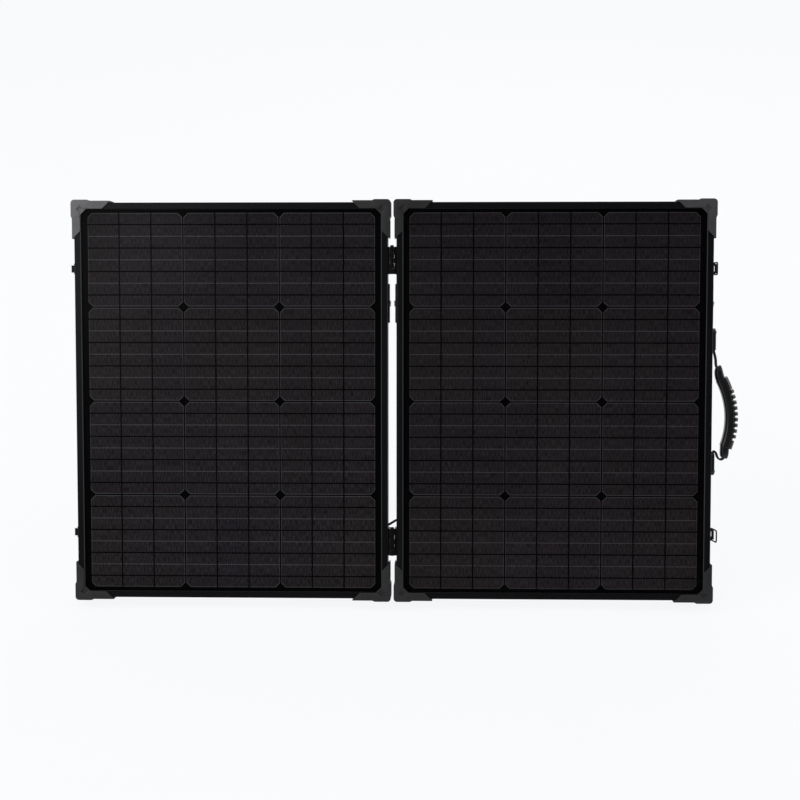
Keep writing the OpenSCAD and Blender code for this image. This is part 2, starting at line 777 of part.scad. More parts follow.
module latch_bases() {
  color([0.2, 0.2, 0.21]) on_side(1) difference() {
    at_latches() latch_base();
    translate([frame_w, 0, 0]) mirror([1, 0, 0]) at_latch_screws(latch_screw_y)
      translate([-latch_base_t - over, 0, 0]) rod_x(hinge_screw_d + 2 * hole_fit, latch_base_t + 2 * over);
  }
}

// Lever, lying closed along +Y from its pin
module latch_lever() {
  difference() {
    union() {
      // side walls
      for (z = [-lever_half, lever_half - lever_wall]) translate([0, 0, z]) linear_extrude(lever_wall)
        polygon([[-1.6, -2.2], [-1.6, bail_r + 2.4], [0, lever_l - 4], [1.6, lever_l - 4], [1.6, -1]]);
      // top plate with its lifted tip
      translate([0, 0, -lever_half]) linear_extrude(2 * lever_half)
        polygon([[1.6, -1], [1.6, lever_l - 4], [2.8, lever_l], [4, lever_l], [2.8, lever_l - 4], [2.8, -1]]);
      // pin
      translate([0, 0, -ear_z - ear_t]) cylinder(d = latch_pin_d, h = 2 * (ear_z + ear_t));
    }
    translate([-bail_drop, bail_r, -latch_h]) cylinder(d = bail_d + 2 * run_fit, h = 2 * latch_h);
  }
}

// Wire loop, reaching along -Y from its pivot at the origin
module latch_bail() {
  c = bail_corner;
  for (s = [-1, 1]) mirror([0, 0, s < 0 ? 1 : 0]) {
    // end bent in through the lever's wall
    translate([0, 0, bail_end_z]) cylinder(d = bail_d, h = bail_half - bail_end_z);
    translate([0, 0, bail_half]) sphere(d = bail_d);
    translate([0, 0, bail_half]) rotate([90, 0, 0]) cylinder(d = bail_d, h = bail_reach - c);
    translate([0, -bail_reach + c, bail_half - c]) rotate([0, 90, 0]) rotate([0, 0, 180])
      rotate_extrude(angle = 90) translate([c, 0]) circle(d = bail_d);
    translate([0, -bail_reach, 0]) cylinder(d = bail_d, h = bail_half - c);
  }
}

module place_lever(dir) {
  on_side(1) translate([frame_w + latch_pivot_u, latch_pivot_y, mid_z + dir * latch_z]) children();
}

module place_bail(dir, tilt) {
  on_side(1) translate([frame_w + bail_u, bail_y, mid_z + dir * latch_z]) rotate([0, 0, tilt]) children();
}

module dark_steel() { color([0.16, 0.16, 0.17]) children(); }

module upper_latch_lever() { dark_steel() place_lever(1) latch_lever(); }
module lower_latch_lever() { dark_steel() place_lever(-1) latch_lever(); }
module upper_latch_bail() { dark_steel() place_bail(1, upper_bail_tilt) latch_bail(); }
module lower_latch_bail() { dark_steel() place_bail(-1, lower_bail_tilt) latch_bail(); }

// Hooks on the left panel that the loops pull on
module latch_catches() {
  lip_u = bail_u + bail_d / 2 + side_fit;
  base_end = catch_screw_y + 4;
  dark_steel() on_side(-1) difference() {
    at_latches() {
      translate([0, catch_post_y - 1.5, -latch_h / 2 + 2])
        cube([latch_base_t, base_end - catch_post_y + 1.5, latch_h - 4]);
      translate([0, 0, -catch_half]) linear_extrude(2 * catch_half)
        polygon([[0, catch_post_y], [lip_u + catch_lip_t, catch_post_y],
                 [lip_u + catch_lip_t, catch_post_y + catch_lip],
                 [lip_u, catch_post_y + catch_lip], [lip_u, catch_post_y + catch_post_t],
                 [0, catch_post_y + catch_post_t]]);
    }
    translate([frame_w, 0, 0]) mirror([1, 0, 0]) at_latch_screws(catch_screw_y)
      translate([-latch_base_t - over, 0, 0]) rod_x(hinge_screw_d + 2 * hole_fit, latch_base_t + 2 * over);
  }
}

// ---- Handle ----

// Puts its children at each bracket's screw, on an outer rail lying on x = 0
module at_bracket_screws() {
  for (s = [-1, 1]) translate([0, grip_y, mid_z + s * (bracket_z + bracket_h - bracket_screw)]) children();
}

// One bracket above the middle, with its mouth downwards
module handle_bracket() {
  translate([0, grip_y - bracket_w / 2, bracket_z]) difference() {
    union() {
      cube([bracket_out, bracket_w, bracket_h - bracket_w / 2]);
      translate([0, bracket_w / 2, bracket_h - bracket_w / 2]) rod_x(bracket_w, bracket_out);
    }
    translate([swing_u - mouth_t / 2, (bracket_w - strap_w) / 2 - soft_fit, -over])
      cube([mouth_t, strap_w + 2 * soft_fit, mouth_depth + over]);
  }
}

module handle_brackets() {
  black_plastic() on_side(1) difference() {
    translate([frame_w, 0, mid_z]) {
      handle_bracket();
      mirror([0, 0, 1]) handle_bracket();
    }
    translate([frame_w, 0, 0]) mirror([1, 0, 0]) at_bracket_screws()
      translate([-bracket_out - over, 0, 0]) rod_x(hinge_screw_d + 2 * hole_fit, bracket_out + 2 * over);
  }
}

// Sweeps a section along the grip's arc between two angles; the section's first
// coordinate is the distance from the arc's centre and its second is depth
module along_grip(from, to) {
  on_side(1) translate([grip_x, grip_y, grip_z]) rotate([90, -from, 0])
    rotate_extrude(angle = to - from) children();
}

// Rounded rectangle, centred
module round_rect(a, b, r) {
  square([a - 2 * r, b], center = true);
  square([a, b - 2 * r], center = true);
  for (x = [-1, 1], y = [-1, 1]) translate([x * (a / 2 - r), y * (b / 2 - r)]) circle(r);
}

grip_mid = grip_r + grip_t / 2;

module core_section() { translate([grip_mid, 0]) round_rect(core_t, core_w, 4); }

module handle_core() { color([0.06, 0.06, 0.06]) along_grip(core_bottom, core_top) core_section(); }

// One ridge or collar: a band that stands out on the grip's outer side
module band(from, to, out, w) {
  sunk = grip_t / 2;
  along_grip(from, to) translate([grip_r + grip_t + (out - sunk) / 2, 0]) round_rect(sunk + out, w, 3);
}

module handle_sleeve() {
  ridge_w = grip_w - 3;
  collar_w = grip_w + 1;
  color([0.08, 0.08, 0.09]) difference() {
    union() {
      along_grip(grip_bottom, grip_top) translate([grip_mid, 0]) round_rect(grip_t, grip_w, 5);
      band(grip_top - collar_top, grip_top, collar_t, collar_w);
      band(grip_bottom, grip_bottom + collar_bottom, collar_t, collar_w);
      for (k = [0 : ridges - 1]) {
        middle = ridge_top - k * ridge_pitch;
        band(middle - ridge_angle / 2, middle + ridge_angle / 2, ridge_out, ridge_w);
      }
    }
    along_grip(grip_bottom - over, grip_top + over) core_section();
  }
}

// Straps from the core's ends to just short of the brackets' mouths
module handle_strap() {
  end_z = bracket_z - soft_fit;
  low_z = -end_z;
  color([0.05, 0.05, 0.05]) on_side(1) translate([frame_w, grip_y + strap_w / 2, mid_z])
    rotate([90, 0, 0]) linear_extrude(strap_w) {
      polygon([[swing_u - strap_t / 2, end_z], [swing_u + strap_t / 2, end_z],
               [swing_u + strap_t / 2 + 5, 48], [swing_u - strap_t / 2 + 5, 48]]);
      polygon([[swing_u - strap_t / 2, low_z], [swing_u - strap_t / 2, -81.5], [swing_u, -80],
               [11, -80], [12.5, -81.5], [16, -86], [14, -88], [10.5, -82.5],
               [swing_u + strap_t / 2, -82.5], [swing_u + strap_t / 2, low_z]]);
    }
}

on_side(-1) top_rail();  // left_top_rail
on_side(-1) bottom_rail();  // left_bottom_rail
on_side(-1) inner_rail(-1);  // left_inner_rail
on_side(-1) outer_rail(-1);  // left_outer_rail
on_side(-1) corner_keys();  // left_corner_keys
on_side(-1) gasket();  // left_gasket
on_side(-1) glass();  // left_glass
on_side(-1) cells();  // left_cells
on_side(-1) ribbons();  // left_ribbons
on_side(-1) backsheet();  // left_backsheet
on_side(-1) junction_box(-1);  // left_junction_box
on_side(-1) junction_lid();  // left_junction_lid
on_side(-1) diodes();  // left_diodes
on_side(-1) cable_gland(-1);  // left_cable_gland
on_side(-1) corner_guard(1, 0);  // left_top_inner_guard
on_side(-1) corner_guard(1, 1);  // left_top_outer_guard
on_side(-1) corner_guard(0, 0);  // left_bottom_inner_guard
on_side(-1) corner_guard(0, 1);  // left_bottom_outer_guard
on_side(-1) pivot_plates();  // left_pivot_plates
on_side(-1) stand_pivots();  // left_stand_pivots
on_side(-1) stand_frame();  // left_stand_frame
on_side(-1) stand_feet();  // left_stand_feet
on_side(-1) hinge_leaves(-1);  // left_hinge_leaves
on_side(-1) screws(-1);  // left_screws
on_side(1) top_rail();  // right_top_rail
on_side(1) bottom_rail();  // right_bottom_rail
on_side(1) inner_rail(1);  // right_inner_rail
on_side(1) outer_rail(1);  // right_outer_rail
on_side(1) corner_keys();  // right_corner_keys
on_side(1) gasket();  // right_gasket
on_side(1) glass();  // right_glass
on_side(1) cells();  // right_cells
on_side(1) ribbons();  // right_ribbons
on_side(1) backsheet();  // right_backsheet
on_side(1) junction_box(1);  // right_junction_box
on_side(1) junction_lid();  // right_junction_lid
on_side(1) diodes();  // right_diodes
on_side(1) cable_gland(1);  // right_cable_gland
on_side(1) corner_guard(1, 0);  // right_top_inner_guard
on_side(1) corner_guard(1, 1);  // right_top_outer_guard
on_side(1) corner_guard(0, 0);  // right_bottom_inner_guard
on_side(1) corner_guard(0, 1);  // right_bottom_outer_guard
on_side(1) pivot_plates();  // right_pivot_plates
on_side(1) stand_pivots();  // right_stand_pivots
on_side(1) stand_frame();  // right_stand_frame
on_side(1) stand_feet();  // right_stand_feet
on_side(1) hinge_leaves(1);  // right_hinge_leaves
on_side(1) screws(1);  // right_screws
hinge_pins();
latch_bases();
latch_catches();
handle_brackets();
upper_latch_lever();
upper_latch_bail();
lower_latch_lever();
lower_latch_bail();
handle_core();
handle_sleeve();
handle_strap();
link_cable();
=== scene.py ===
# %% [markdown]
# # A folding solar panel, from frame to finish
# The object is a briefcase-style solar panel for camping: two glass panels in black aluminium
# frames, hinged in the middle, on two kickstands, with latches and a strap handle. The packed
# frame holds every rigid part at its true size. This file gives those parts their finishes and
# models what the frame only holds a place for: the moulded guards, the grip, the straps and
# the cable.

# %% Load the frame
import json
import math
import bpy
from mathutils import Matrix, Vector


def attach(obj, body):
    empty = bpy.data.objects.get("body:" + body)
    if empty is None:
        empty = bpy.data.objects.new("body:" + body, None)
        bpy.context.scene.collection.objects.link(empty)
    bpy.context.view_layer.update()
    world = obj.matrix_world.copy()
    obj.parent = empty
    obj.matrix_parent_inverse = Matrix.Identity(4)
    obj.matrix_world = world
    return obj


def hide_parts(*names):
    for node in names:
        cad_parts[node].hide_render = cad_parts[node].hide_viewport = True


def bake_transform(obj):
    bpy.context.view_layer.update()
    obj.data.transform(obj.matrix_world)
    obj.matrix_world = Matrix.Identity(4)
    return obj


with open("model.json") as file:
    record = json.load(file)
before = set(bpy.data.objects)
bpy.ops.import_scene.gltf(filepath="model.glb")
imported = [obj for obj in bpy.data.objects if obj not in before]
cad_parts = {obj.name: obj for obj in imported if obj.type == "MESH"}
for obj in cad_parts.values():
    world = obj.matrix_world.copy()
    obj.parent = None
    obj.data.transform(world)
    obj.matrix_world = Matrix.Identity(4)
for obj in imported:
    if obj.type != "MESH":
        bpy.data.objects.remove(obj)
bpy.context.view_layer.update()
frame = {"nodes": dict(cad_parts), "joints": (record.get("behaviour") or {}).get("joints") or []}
joints = {j["name"]: j for j in frame["joints"]}
mm = 0.001

# %% [markdown]
# The panels lean back on their stands, so nothing on them is square to the world. It is far
# easier to model on a flat bench and lean the result back afterwards. The fold joint gives that
# bench: its axis runs up the middle of the object, so bench X points along the panels, bench Y
# into their depth and bench Z up them. The bench's origin is on the fold axis at mid-height.

# %% The bench
fold_axis = Vector(joints["fold"]["axis"]).normalized()
fold_point = Vector(joints["fold"]["pos_m"])
lean = math.atan2(fold_axis.y, fold_axis.z)
bench = Matrix.Translation(fold_point) @ Matrix.Rotation(-lean, 4, "X")
bench_inverse = bench.inverted()


def on_bench(node):
    """Lowest and highest corner of a frame part, measured on the bench."""
    corners = [bench_inverse @ v.co for v in frame["nodes"][node].data.vertices]
    low = Vector([min(c[i] for c in corners) for i in range(3)])
    high = Vector([max(c[i] for c in corners) for i in range(3)])
    return low, high


rail_low, rail_high = on_bench("right_outer_rail")
front = rail_low.y
back = rail_high.y
print("lean %.1f degrees, frame depth %.1f mm" % (math.degrees(lean), (back - front) / mm))

# %% [markdown]
# The camera stands a little to the right and looks down at the panels, almost square to the
# glass, from far enough away that the edges stay nearly parallel. A long lens on a real camera
# does the same. The last value turns it by less than a degree about its own axis.

# %% Camera
camera_target = Vector((-0.0065, -0.0382, 0.3274))
camera_distance = 2.669
camera_azimuth = math.radians(2.118)
camera_elevation = math.radians(27.656)
camera_roll = math.radians(-0.863)

away = Vector((math.sin(camera_azimuth) * math.cos(camera_elevation),
               -math.cos(camera_azimuth) * math.cos(camera_elevation),
               math.sin(camera_elevation)))
camera_data = bpy.data.cameras.new("camera")
camera_data.sensor_width = 36
camera_data.lens = 71.9
camera = bpy.data.objects.new("camera", camera_data)
bpy.context.scene.collection.objects.link(camera)
camera.location = camera_target + away * camera_distance
looking = (-away).to_track_quat("-Z", "Y").to_matrix()
camera.rotation_euler = (looking @ Matrix.Rotation(camera_roll, 3, "Z")).to_euler()
bpy.context.scene.camera = camera
print("camera at", [round(v, 3) for v in camera.location])

# %% [markdown]
# Everything lies on a pale floor that curves up behind, as paper does in a studio, so no
# horizon line shows; it glows evenly, like paper lit from behind, so shadows stay faint. Dark
# glossy parts show what surrounds them and not what lights them. The sky is pale above and
# behind and dark in front, as if a black flag hung there, which keeps the glass clear. The lamps
# are large and soft: one from the upper left, a small one near it that draws the left panel's
# upper corner, a weaker one from the right, and one behind for the edges.

# %% Small mesh helpers
def deselect():
    """Leaves nothing selected, so that an operator acts only on what comes next."""
    for thing in bpy.context.selected_objects:
        thing.select_set(False)


def take(obj):
    """Makes obj the one selected and active object."""
    deselect()
    obj.select_set(True)
    bpy.context.view_layer.objects.active = obj
    return obj


def edit(mode="VERT"):
    """Goes into edit mode with nothing selected."""
    bpy.ops.object.mode_set(mode="EDIT")
    bpy.ops.mesh.select_mode(type=mode)
    bpy.ops.mesh.select_all(action="DESELECT")


def pick(obj, kind, test):
    """Selects the faces or edges of obj whose middle passes the test, and says how many."""
    bpy.ops.object.mode_set(mode="OBJECT")
    mesh = obj.data
    count = 0
    for item in getattr(mesh, kind):
        middle = sum((mesh.vertices[v].co for v in item.vertices), Vector()) / len(item.vertices)
        item.select = test(item, middle)
        count += item.select
    bpy.ops.object.mode_set(mode="EDIT")
    return count


def end_edit():
    bpy.ops.object.mode_set(mode="OBJECT")


def modify(obj, kind, **values):
    """Adds a modifier and applies it."""
    take(obj)
    modifier = obj.modifiers.new(kind.lower(), kind)
    for name, value in values.items():
        setattr(modifier, name, value)
    bpy.ops.object.modifier_apply(modifier=modifier.name)
    return obj


def lean_back(obj):
    """Moves a piece modelled on the bench to its place on the leaning panel."""
    obj.data.transform(obj.matrix_world)
    obj.matrix_world = Matrix.Identity(4)
    obj.data.transform(bench)
    return obj


def smooth(obj, angle=35):
    """Smooth shading, with edges sharper than the angle kept crisp."""
    take(obj)
    bpy.ops.object.shade_smooth_by_angle(angle=math.radians(angle))
    return obj


def copy_of(obj, name, matrix):
    """A copy with its own mesh, moved by the matrix, with its faces turned out again if mirrored."""
    twin = bpy.data.objects.new(name, obj.data.copy())
    bpy.context.scene.collection.objects.link(twin)
    twin.data.transform(matrix)
    if matrix.determinant() < 0:
        twin.data.flip_normals()
    return twin


# %% Floor and lamps
floor_size = 14
floor_back = 3.2
deselect()
bpy.ops.mesh.primitive_plane_add(size=floor_size, location=(0, floor_back - floor_size / 2, 0))
floor = bpy.context.object
floor.name = "studio_floor"
edit("EDGE")
pick(floor, "edges", lambda e, m: m.y > floor_size / 2 - mm)
steps = 10
for step in range(steps):
    angle = math.radians(90 * (step + 0.5) / steps)
    bpy.ops.mesh.extrude_region_move(
        TRANSFORM_OT_translate={"value": (0, 0.3 * math.cos(angle), 0.3 * math.sin(angle))})
bpy.ops.mesh.extrude_region_move(TRANSFORM_OT_translate={"value": (0, 0, 5)})
end_edit()
floor.data.transform(floor.matrix_world)
floor.matrix_world = Matrix.Identity(4)
smooth(floor, 60)


def soft_lamp(name, place, size, watts, target=Vector((0, 0, 0.3))):
    """A square area lamp that faces the target."""
    data = bpy.data.lights.new(name, "AREA")
    data.size = size
    data.energy = watts
    lamp = bpy.data.objects.new(name, data)
    bpy.context.scene.collection.objects.link(lamp)
    lamp.location = place
    lamp.rotation_euler = (target - Vector(place)).to_track_quat("-Z", "Y").to_euler()
    return lamp


soft_lamp("key_lamp", (-2.6, -0.6, 3.4), 2.2, 60)
soft_lamp("front_lamp", (-1.25, -2.3, 1.78), 0.7, 9)
soft_lamp("side_lamp", (3.2, -0.2, 1.8), 1.6, 20)
soft_lamp("rim_lamp", (0.6, 2.6, 2.6), 2.0, 30)
pale = (0.939, 0.947, 0.965, 1)
sky = bpy.data.worlds.new("studio_sky")
sky.use_nodes = True
sky_tree = sky.node_tree
sky_look = sky_tree.nodes.new("ShaderNodeTexCoord")
sky_split = sky_tree.nodes.new("ShaderNodeSeparateXYZ")
sky_range = sky_tree.nodes.new("ShaderNodeMapRange")
for key, value in {"From Min": -0.75, "From Max": -0.1, "To Min": 0.1, "To Max": 1.0}.items():
    sky_range.inputs[key].default_value = value
sky_tree.links.new(sky_look.outputs["Generated"], sky_split.inputs[0])
sky_tree.links.new(sky_split.outputs["Y"], sky_range.inputs["Value"])
sky_light = sky_tree.nodes["Background"]
sky_light.inputs["Color"].default_value = pale
sky_tree.links.new(sky_range.outputs["Result"], sky_light.inputs["Strength"])
bpy.context.scene.world = sky
bpy.context.scene.view_settings.view_transform = "Standard"
paper = bpy.data.materials.new("lit_paper")
paper.use_nodes = True
paper_shader = paper.node_tree.nodes["Principled BSDF"]
paper_shader.inputs["Base Color"].default_value = (0.06, 0.06, 0.06, 1)
paper_shader.inputs["Roughness"].default_value = 1
paper_shader.inputs["Specular IOR Level"].default_value = 0
paper_shader.inputs["Emission Color"].default_value = pale
paper_shader.inputs["Emission Strength"].default_value = 0.95
floor.data.materials.append(paper)
print("floor, four lamps and a pale sky")

# %% [markdown]
# Every finish is a small network of shader nodes. Written out node by node, such networks are
# long and hard to read, so two helpers shorten them. `Value` wraps one socket, and ordinary
# arithmetic on it adds the Math nodes. `Finish` makes a material and adds any other node from
# its type, its settings and the values or links of its sockets.

# %% Shader helpers
class Value:
    """A node socket that can be used in an expression."""

    def __init__(self, finish, socket):
        self.finish = finish
        self.socket = socket

    def math(self, operation, *others, swap=False):
        inputs = [self, *others]
        if swap:
            inputs.reverse()
        return self.finish.node("Math", {"operation": operation}, *inputs)

    def __add__(self, other): return self.math("ADD", other)
    def __radd__(self, other): return self.math("ADD", other)
    def __sub__(self, other): return self.math("SUBTRACT", other)
    def __rsub__(self, other): return self.math("SUBTRACT", other, swap=True)
    def __mul__(self, other): return self.math("MULTIPLY", other)
    def __rmul__(self, other): return self.math("MULTIPLY", other)
    def __truediv__(self, other): return self.math("DIVIDE", other)
    def __gt__(self, other): return self.math("GREATER_THAN", other)
    def __lt__(self, other): return self.math("LESS_THAN", other)
    def fract(self): return self.math("FRACT")
    def floor(self): return self.math("FLOOR")
    def absolute(self): return self.math("ABSOLUTE")
    def sine(self): return self.math("SINE")
    def smaller(self, other): return self.math("MINIMUM", other)


class Finish:
    """A material built up node by node round one Principled shader."""

    def __init__(self, name, color, roughness, metallic=0.0, **constants):
        self.material = bpy.data.materials.new(name)
        self.material.use_nodes = True
        self.tree = self.material.node_tree
        self.shader = self.tree.nodes["Principled BSDF"]
        self.shader.inputs["Base Color"].default_value = (*color, 1)
        self.shader.inputs["Roughness"].default_value = roughness
        self.shader.inputs["Metallic"].default_value = metallic
        for key, value in constants.items():
            self.shader.inputs[key.replace("_", " ").title().replace("Ior", "IOR")].default_value = value

    def node(self, kind, settings, *inputs, out=0):
        """Adds a node; inputs are values or Values, in the order of its sockets."""
        made = self.tree.nodes.new("ShaderNode" + kind)
        for key, value in settings.items():
            setattr(made, key, value)
        for socket, value in zip(made.inputs, inputs):
            self.put(socket, value)
        return Value(self, made.outputs[out])

    def put(self, socket, value):
        """Sets a socket to a value, or links it."""
        if value is None:
            return
        if isinstance(value, Value):
            self.tree.links.new(value.socket, socket)
        else:
            socket.default_value = value

    def object_place(self):
        """The place of a point on the leaning object, in metres."""
        return self.node("TexCoord", {}, out=3)

    def bench_place(self):
        """The same place measured on the flat bench, as three Values."""
        turned = self.node("Mapping", {"vector_type": "POINT"}, self.object_place(), None,
                           (lean, 0, 0), (1, 1, 1))
        shift = Matrix.Rotation(lean, 3, "X") @ fold_point
        at = self.node("VectorMath", {"operation": "SUBTRACT"}, turned, tuple(shift))
        split = self.node("SeparateXYZ", {}, at)
        outputs = split.socket.node.outputs
        return [Value(self, outputs[i]) for i in range(3)]

    def noise(self, scale, detail=3.0, stretch=(1, 1, 1), place=None):
        """Soft noise from 0 to 1; stretch multiplies the place before the noise."""
        place = place or self.object_place()
        stretched = self.node("VectorMath", {"operation": "MULTIPLY"}, place, stretch)
        made = self.node("TexNoise", {}, stretched, None, scale, detail)
        return made

    def joined(self, x, y, z):
        return self.node("CombineXYZ", {}, x, y, z)

    def blend(self, factor, first, second):
        """One colour turning into another."""
        mix = self.tree.nodes.new("ShaderNodeMix")
        mix.data_type = "RGBA"
        self.put(mix.inputs["Factor"], factor)
        for socket, color in ((mix.inputs[6], first), (mix.inputs[7], second)):
            self.put(socket, color if isinstance(color, Value) else (*color, 1))
        return Value(self, mix.outputs[2])

    def bump(self, height, strength, distance=mm):
        """Bumps of the given height, feeding the shader's normal."""
        made = self.tree.nodes.new("ShaderNodeBump")
        made.inputs["Strength"].default_value = strength
        made.inputs["Distance"].default_value = distance
        self.put(made.inputs["Height"], height)
        self.tree.links.new(made.outputs["Normal"], self.shader.inputs["Normal"])

    def feed(self, name, value):
        """Links a value to one of the shader's sockets."""
        self.tree.links.new(value.socket, self.shader.inputs[name])


def stripe(value, pitch, width):
    """1 on a line of the given width at every pitch, else 0."""
    return ((value / pitch).fract() - 0.5).absolute() > 0.5 - width / pitch / 2


print("shader helpers ready")

# %% [markdown]
# Anodised aluminium is a metal under a thin dyed skin. From the front it is nearly black, but it
# keeps the fine lines of the extrusion die, which run along each rail, and every cut edge catches
# a thin light line. The die lines are noise stretched far along the rail. They only change
# roughness and bump, because the dye varies in faint clouds. Rails that run along X and rails that
# run up the panel need their own direction, so the finish is made twice. On the upright rails fine
# grey lines are painted along both edges of the lip's front, a painted highlight where the chamfers
# catch the light.

# %% Anodised rails
def anodised(name, along_x):
    finish = Finish(name, (0.007, 0.007, 0.008), 0.34, 0.5, specular_ior_level=0.12)
    x, y, z = finish.bench_place()
    across, along = (z, x) if along_x else (x, z)
    lines = finish.noise(1, 4, place=finish.joined(across * 2600, y * 2600, along * 9))
    clouds = finish.noise(9, 2)
    finish.feed("Roughness", 0.27 + 0.12 * lines + 0.08 * clouds)
    color = finish.blend(clouds, (0.006, 0.006, 0.007), (0.009, 0.009, 0.0102))
    # upright rails only: a painted highlight, fine grey lines along both edges of the lip's front
    if not along_x:
        from_inside = x.absolute() - frame_gap / 2
        from_edge = from_inside.smaller(frame_w - from_inside)
        inner_line = (from_edge > rail_w - 1.5 * mm) * (from_edge < rail_w + mm)
        outer_line = from_edge < 1.2 * mm
        at_front = y < front + 1.1 * mm
        painted_edge_highlight = (inner_line * 0.65 + outer_line * 0.25) * at_front
        color = finish.blend(painted_edge_highlight, color, edge_highlight_grey)
    finish.feed("Base Color", color)
    finish.bump(lines, 0.05, 0.02 * mm)
    return finish.material


inner_face = on_bench("right_inner_rail")[0].x
frame_gap = 2 * inner_face
frame_w = rail_high.x - inner_face
rail_w = 11.5 * mm
# the grey of the painted highlight along the upright rails' lip edges
edge_highlight_grey = (0.07, 0.07, 0.073)
rail_across = anodised("anodised_across", True)
rail_upright = anodised("anodised_upright", False)
print("two directions of anodised finish")

# %% [markdown]
# The moulded parts are black nylon and ABS. A mould is sparked or blasted, which leaves a fine
# even grain, and the grain scatters light to a soft grey at the edges. One function makes them
# all: colour, roughness and size of grain are what differ. Soft clouds in both stand for handling.

# %% Moulded plastics and rubbers
def moulded(name, color, roughness, grain, depth, spread=0.25, gloss=0.3):
    finish = Finish(name, color, roughness, specular_ior_level=gloss)
    fine = finish.noise(grain, 2)
    clouds = finish.noise(14, 3)
    light = tuple(c * (1 + spread) + 0.002 for c in color)
    dark = tuple(c * (1 - spread) for c in color)
    finish.feed("Base Color", finish.blend(clouds, dark, light))
    finish.feed("Roughness", roughness - 0.08 + 0.16 * clouds)
    finish.bump(fine, 0.35, depth * mm)
    return finish.material


guard_plastic = moulded("guard_nylon", (0.021, 0.021, 0.022), 0.46, 2400, 0.02)
# two lighter copies of the guard finish are a painted highlight for the two upper outer guards, the
# stronger one for the left
guard_painted_highlight = moulded("guard_nylon_dusty", (0.142, 0.140, 0.147), 0.5, 2400, 0.02)
guard_faint_painted_highlight = moulded("guard_nylon_rubbed", (0.048, 0.047, 0.050), 0.5, 2400, 0.02)
box_plastic = moulded("box_plastic", (0.010, 0.010, 0.011), 0.46, 1900, 0.03)
seal_rubber = moulded("seal_rubber", (0.012, 0.012, 0.012), 0.72, 1500, 0.02)
foot_rubber = moulded("foot_rubber", (0.014, 0.014, 0.0145), 0.8, 900, 0.06, 0.4)
grip_rubber = moulded("grip_rubber", (0.005, 0.005, 0.0055), 0.28, 1200, 0.012, 0.25, 0.5)
nose_rubber = moulded("nose_rubber", (0.004, 0.004, 0.0045), 0.36, 1200, 0.015, 0.25, 0.4)
cable_sheath = moulded("cable_sheath", (0.010, 0.010, 0.010), 0.55, 1600, 0.02)
print("nine moulded finishes")

# %% [markdown]
# The cells are what the eye goes to. A wafer is a black square with cut corners, sawn into
# strips, and each strip has hair-fine silver fingers up it, thin enough to read only as a faint
# vertical grain. Faint lines cross each cell half-way between the ribbons, and its edges are
# a little lighter, where the coating ends. The cells are all one grid, so the pattern is worked
# out from the place on the bench: which strip and which row a point is in, and how far along.
# The coating's tint comes from its thickness, so it drifts across a panel and from wafer to wafer.

# %% The cell grid
strip_side = 52.25 * mm
wafer_side = 156.75 * mm
wafer_cut = 8 * mm
cell_gap = 1.5 * mm
cell_low, cell_high = on_bench("right_cells")
strips = round((cell_high.x - cell_low.x + cell_gap) / (strip_side + cell_gap))
rows = round((cell_high.z - cell_low.z + cell_gap) / (wafer_side + cell_gap))
strip_pitch = (cell_high.x - cell_low.x + cell_gap) / strips
row_pitch = (cell_high.z - cell_low.z + cell_gap) / rows
strips_per_wafer = 3
ribbons_per_cell = 4
finger_pitch = 1.35 * mm
finger_w = 0.32 * mm
contact_half = 0.7 * mm
outline_w = 1.4 * mm
bare_w = 0.5 * mm
bare_black = (0.001, 0.001, 0.0012)
print(strips, "strips by", rows, "rows")


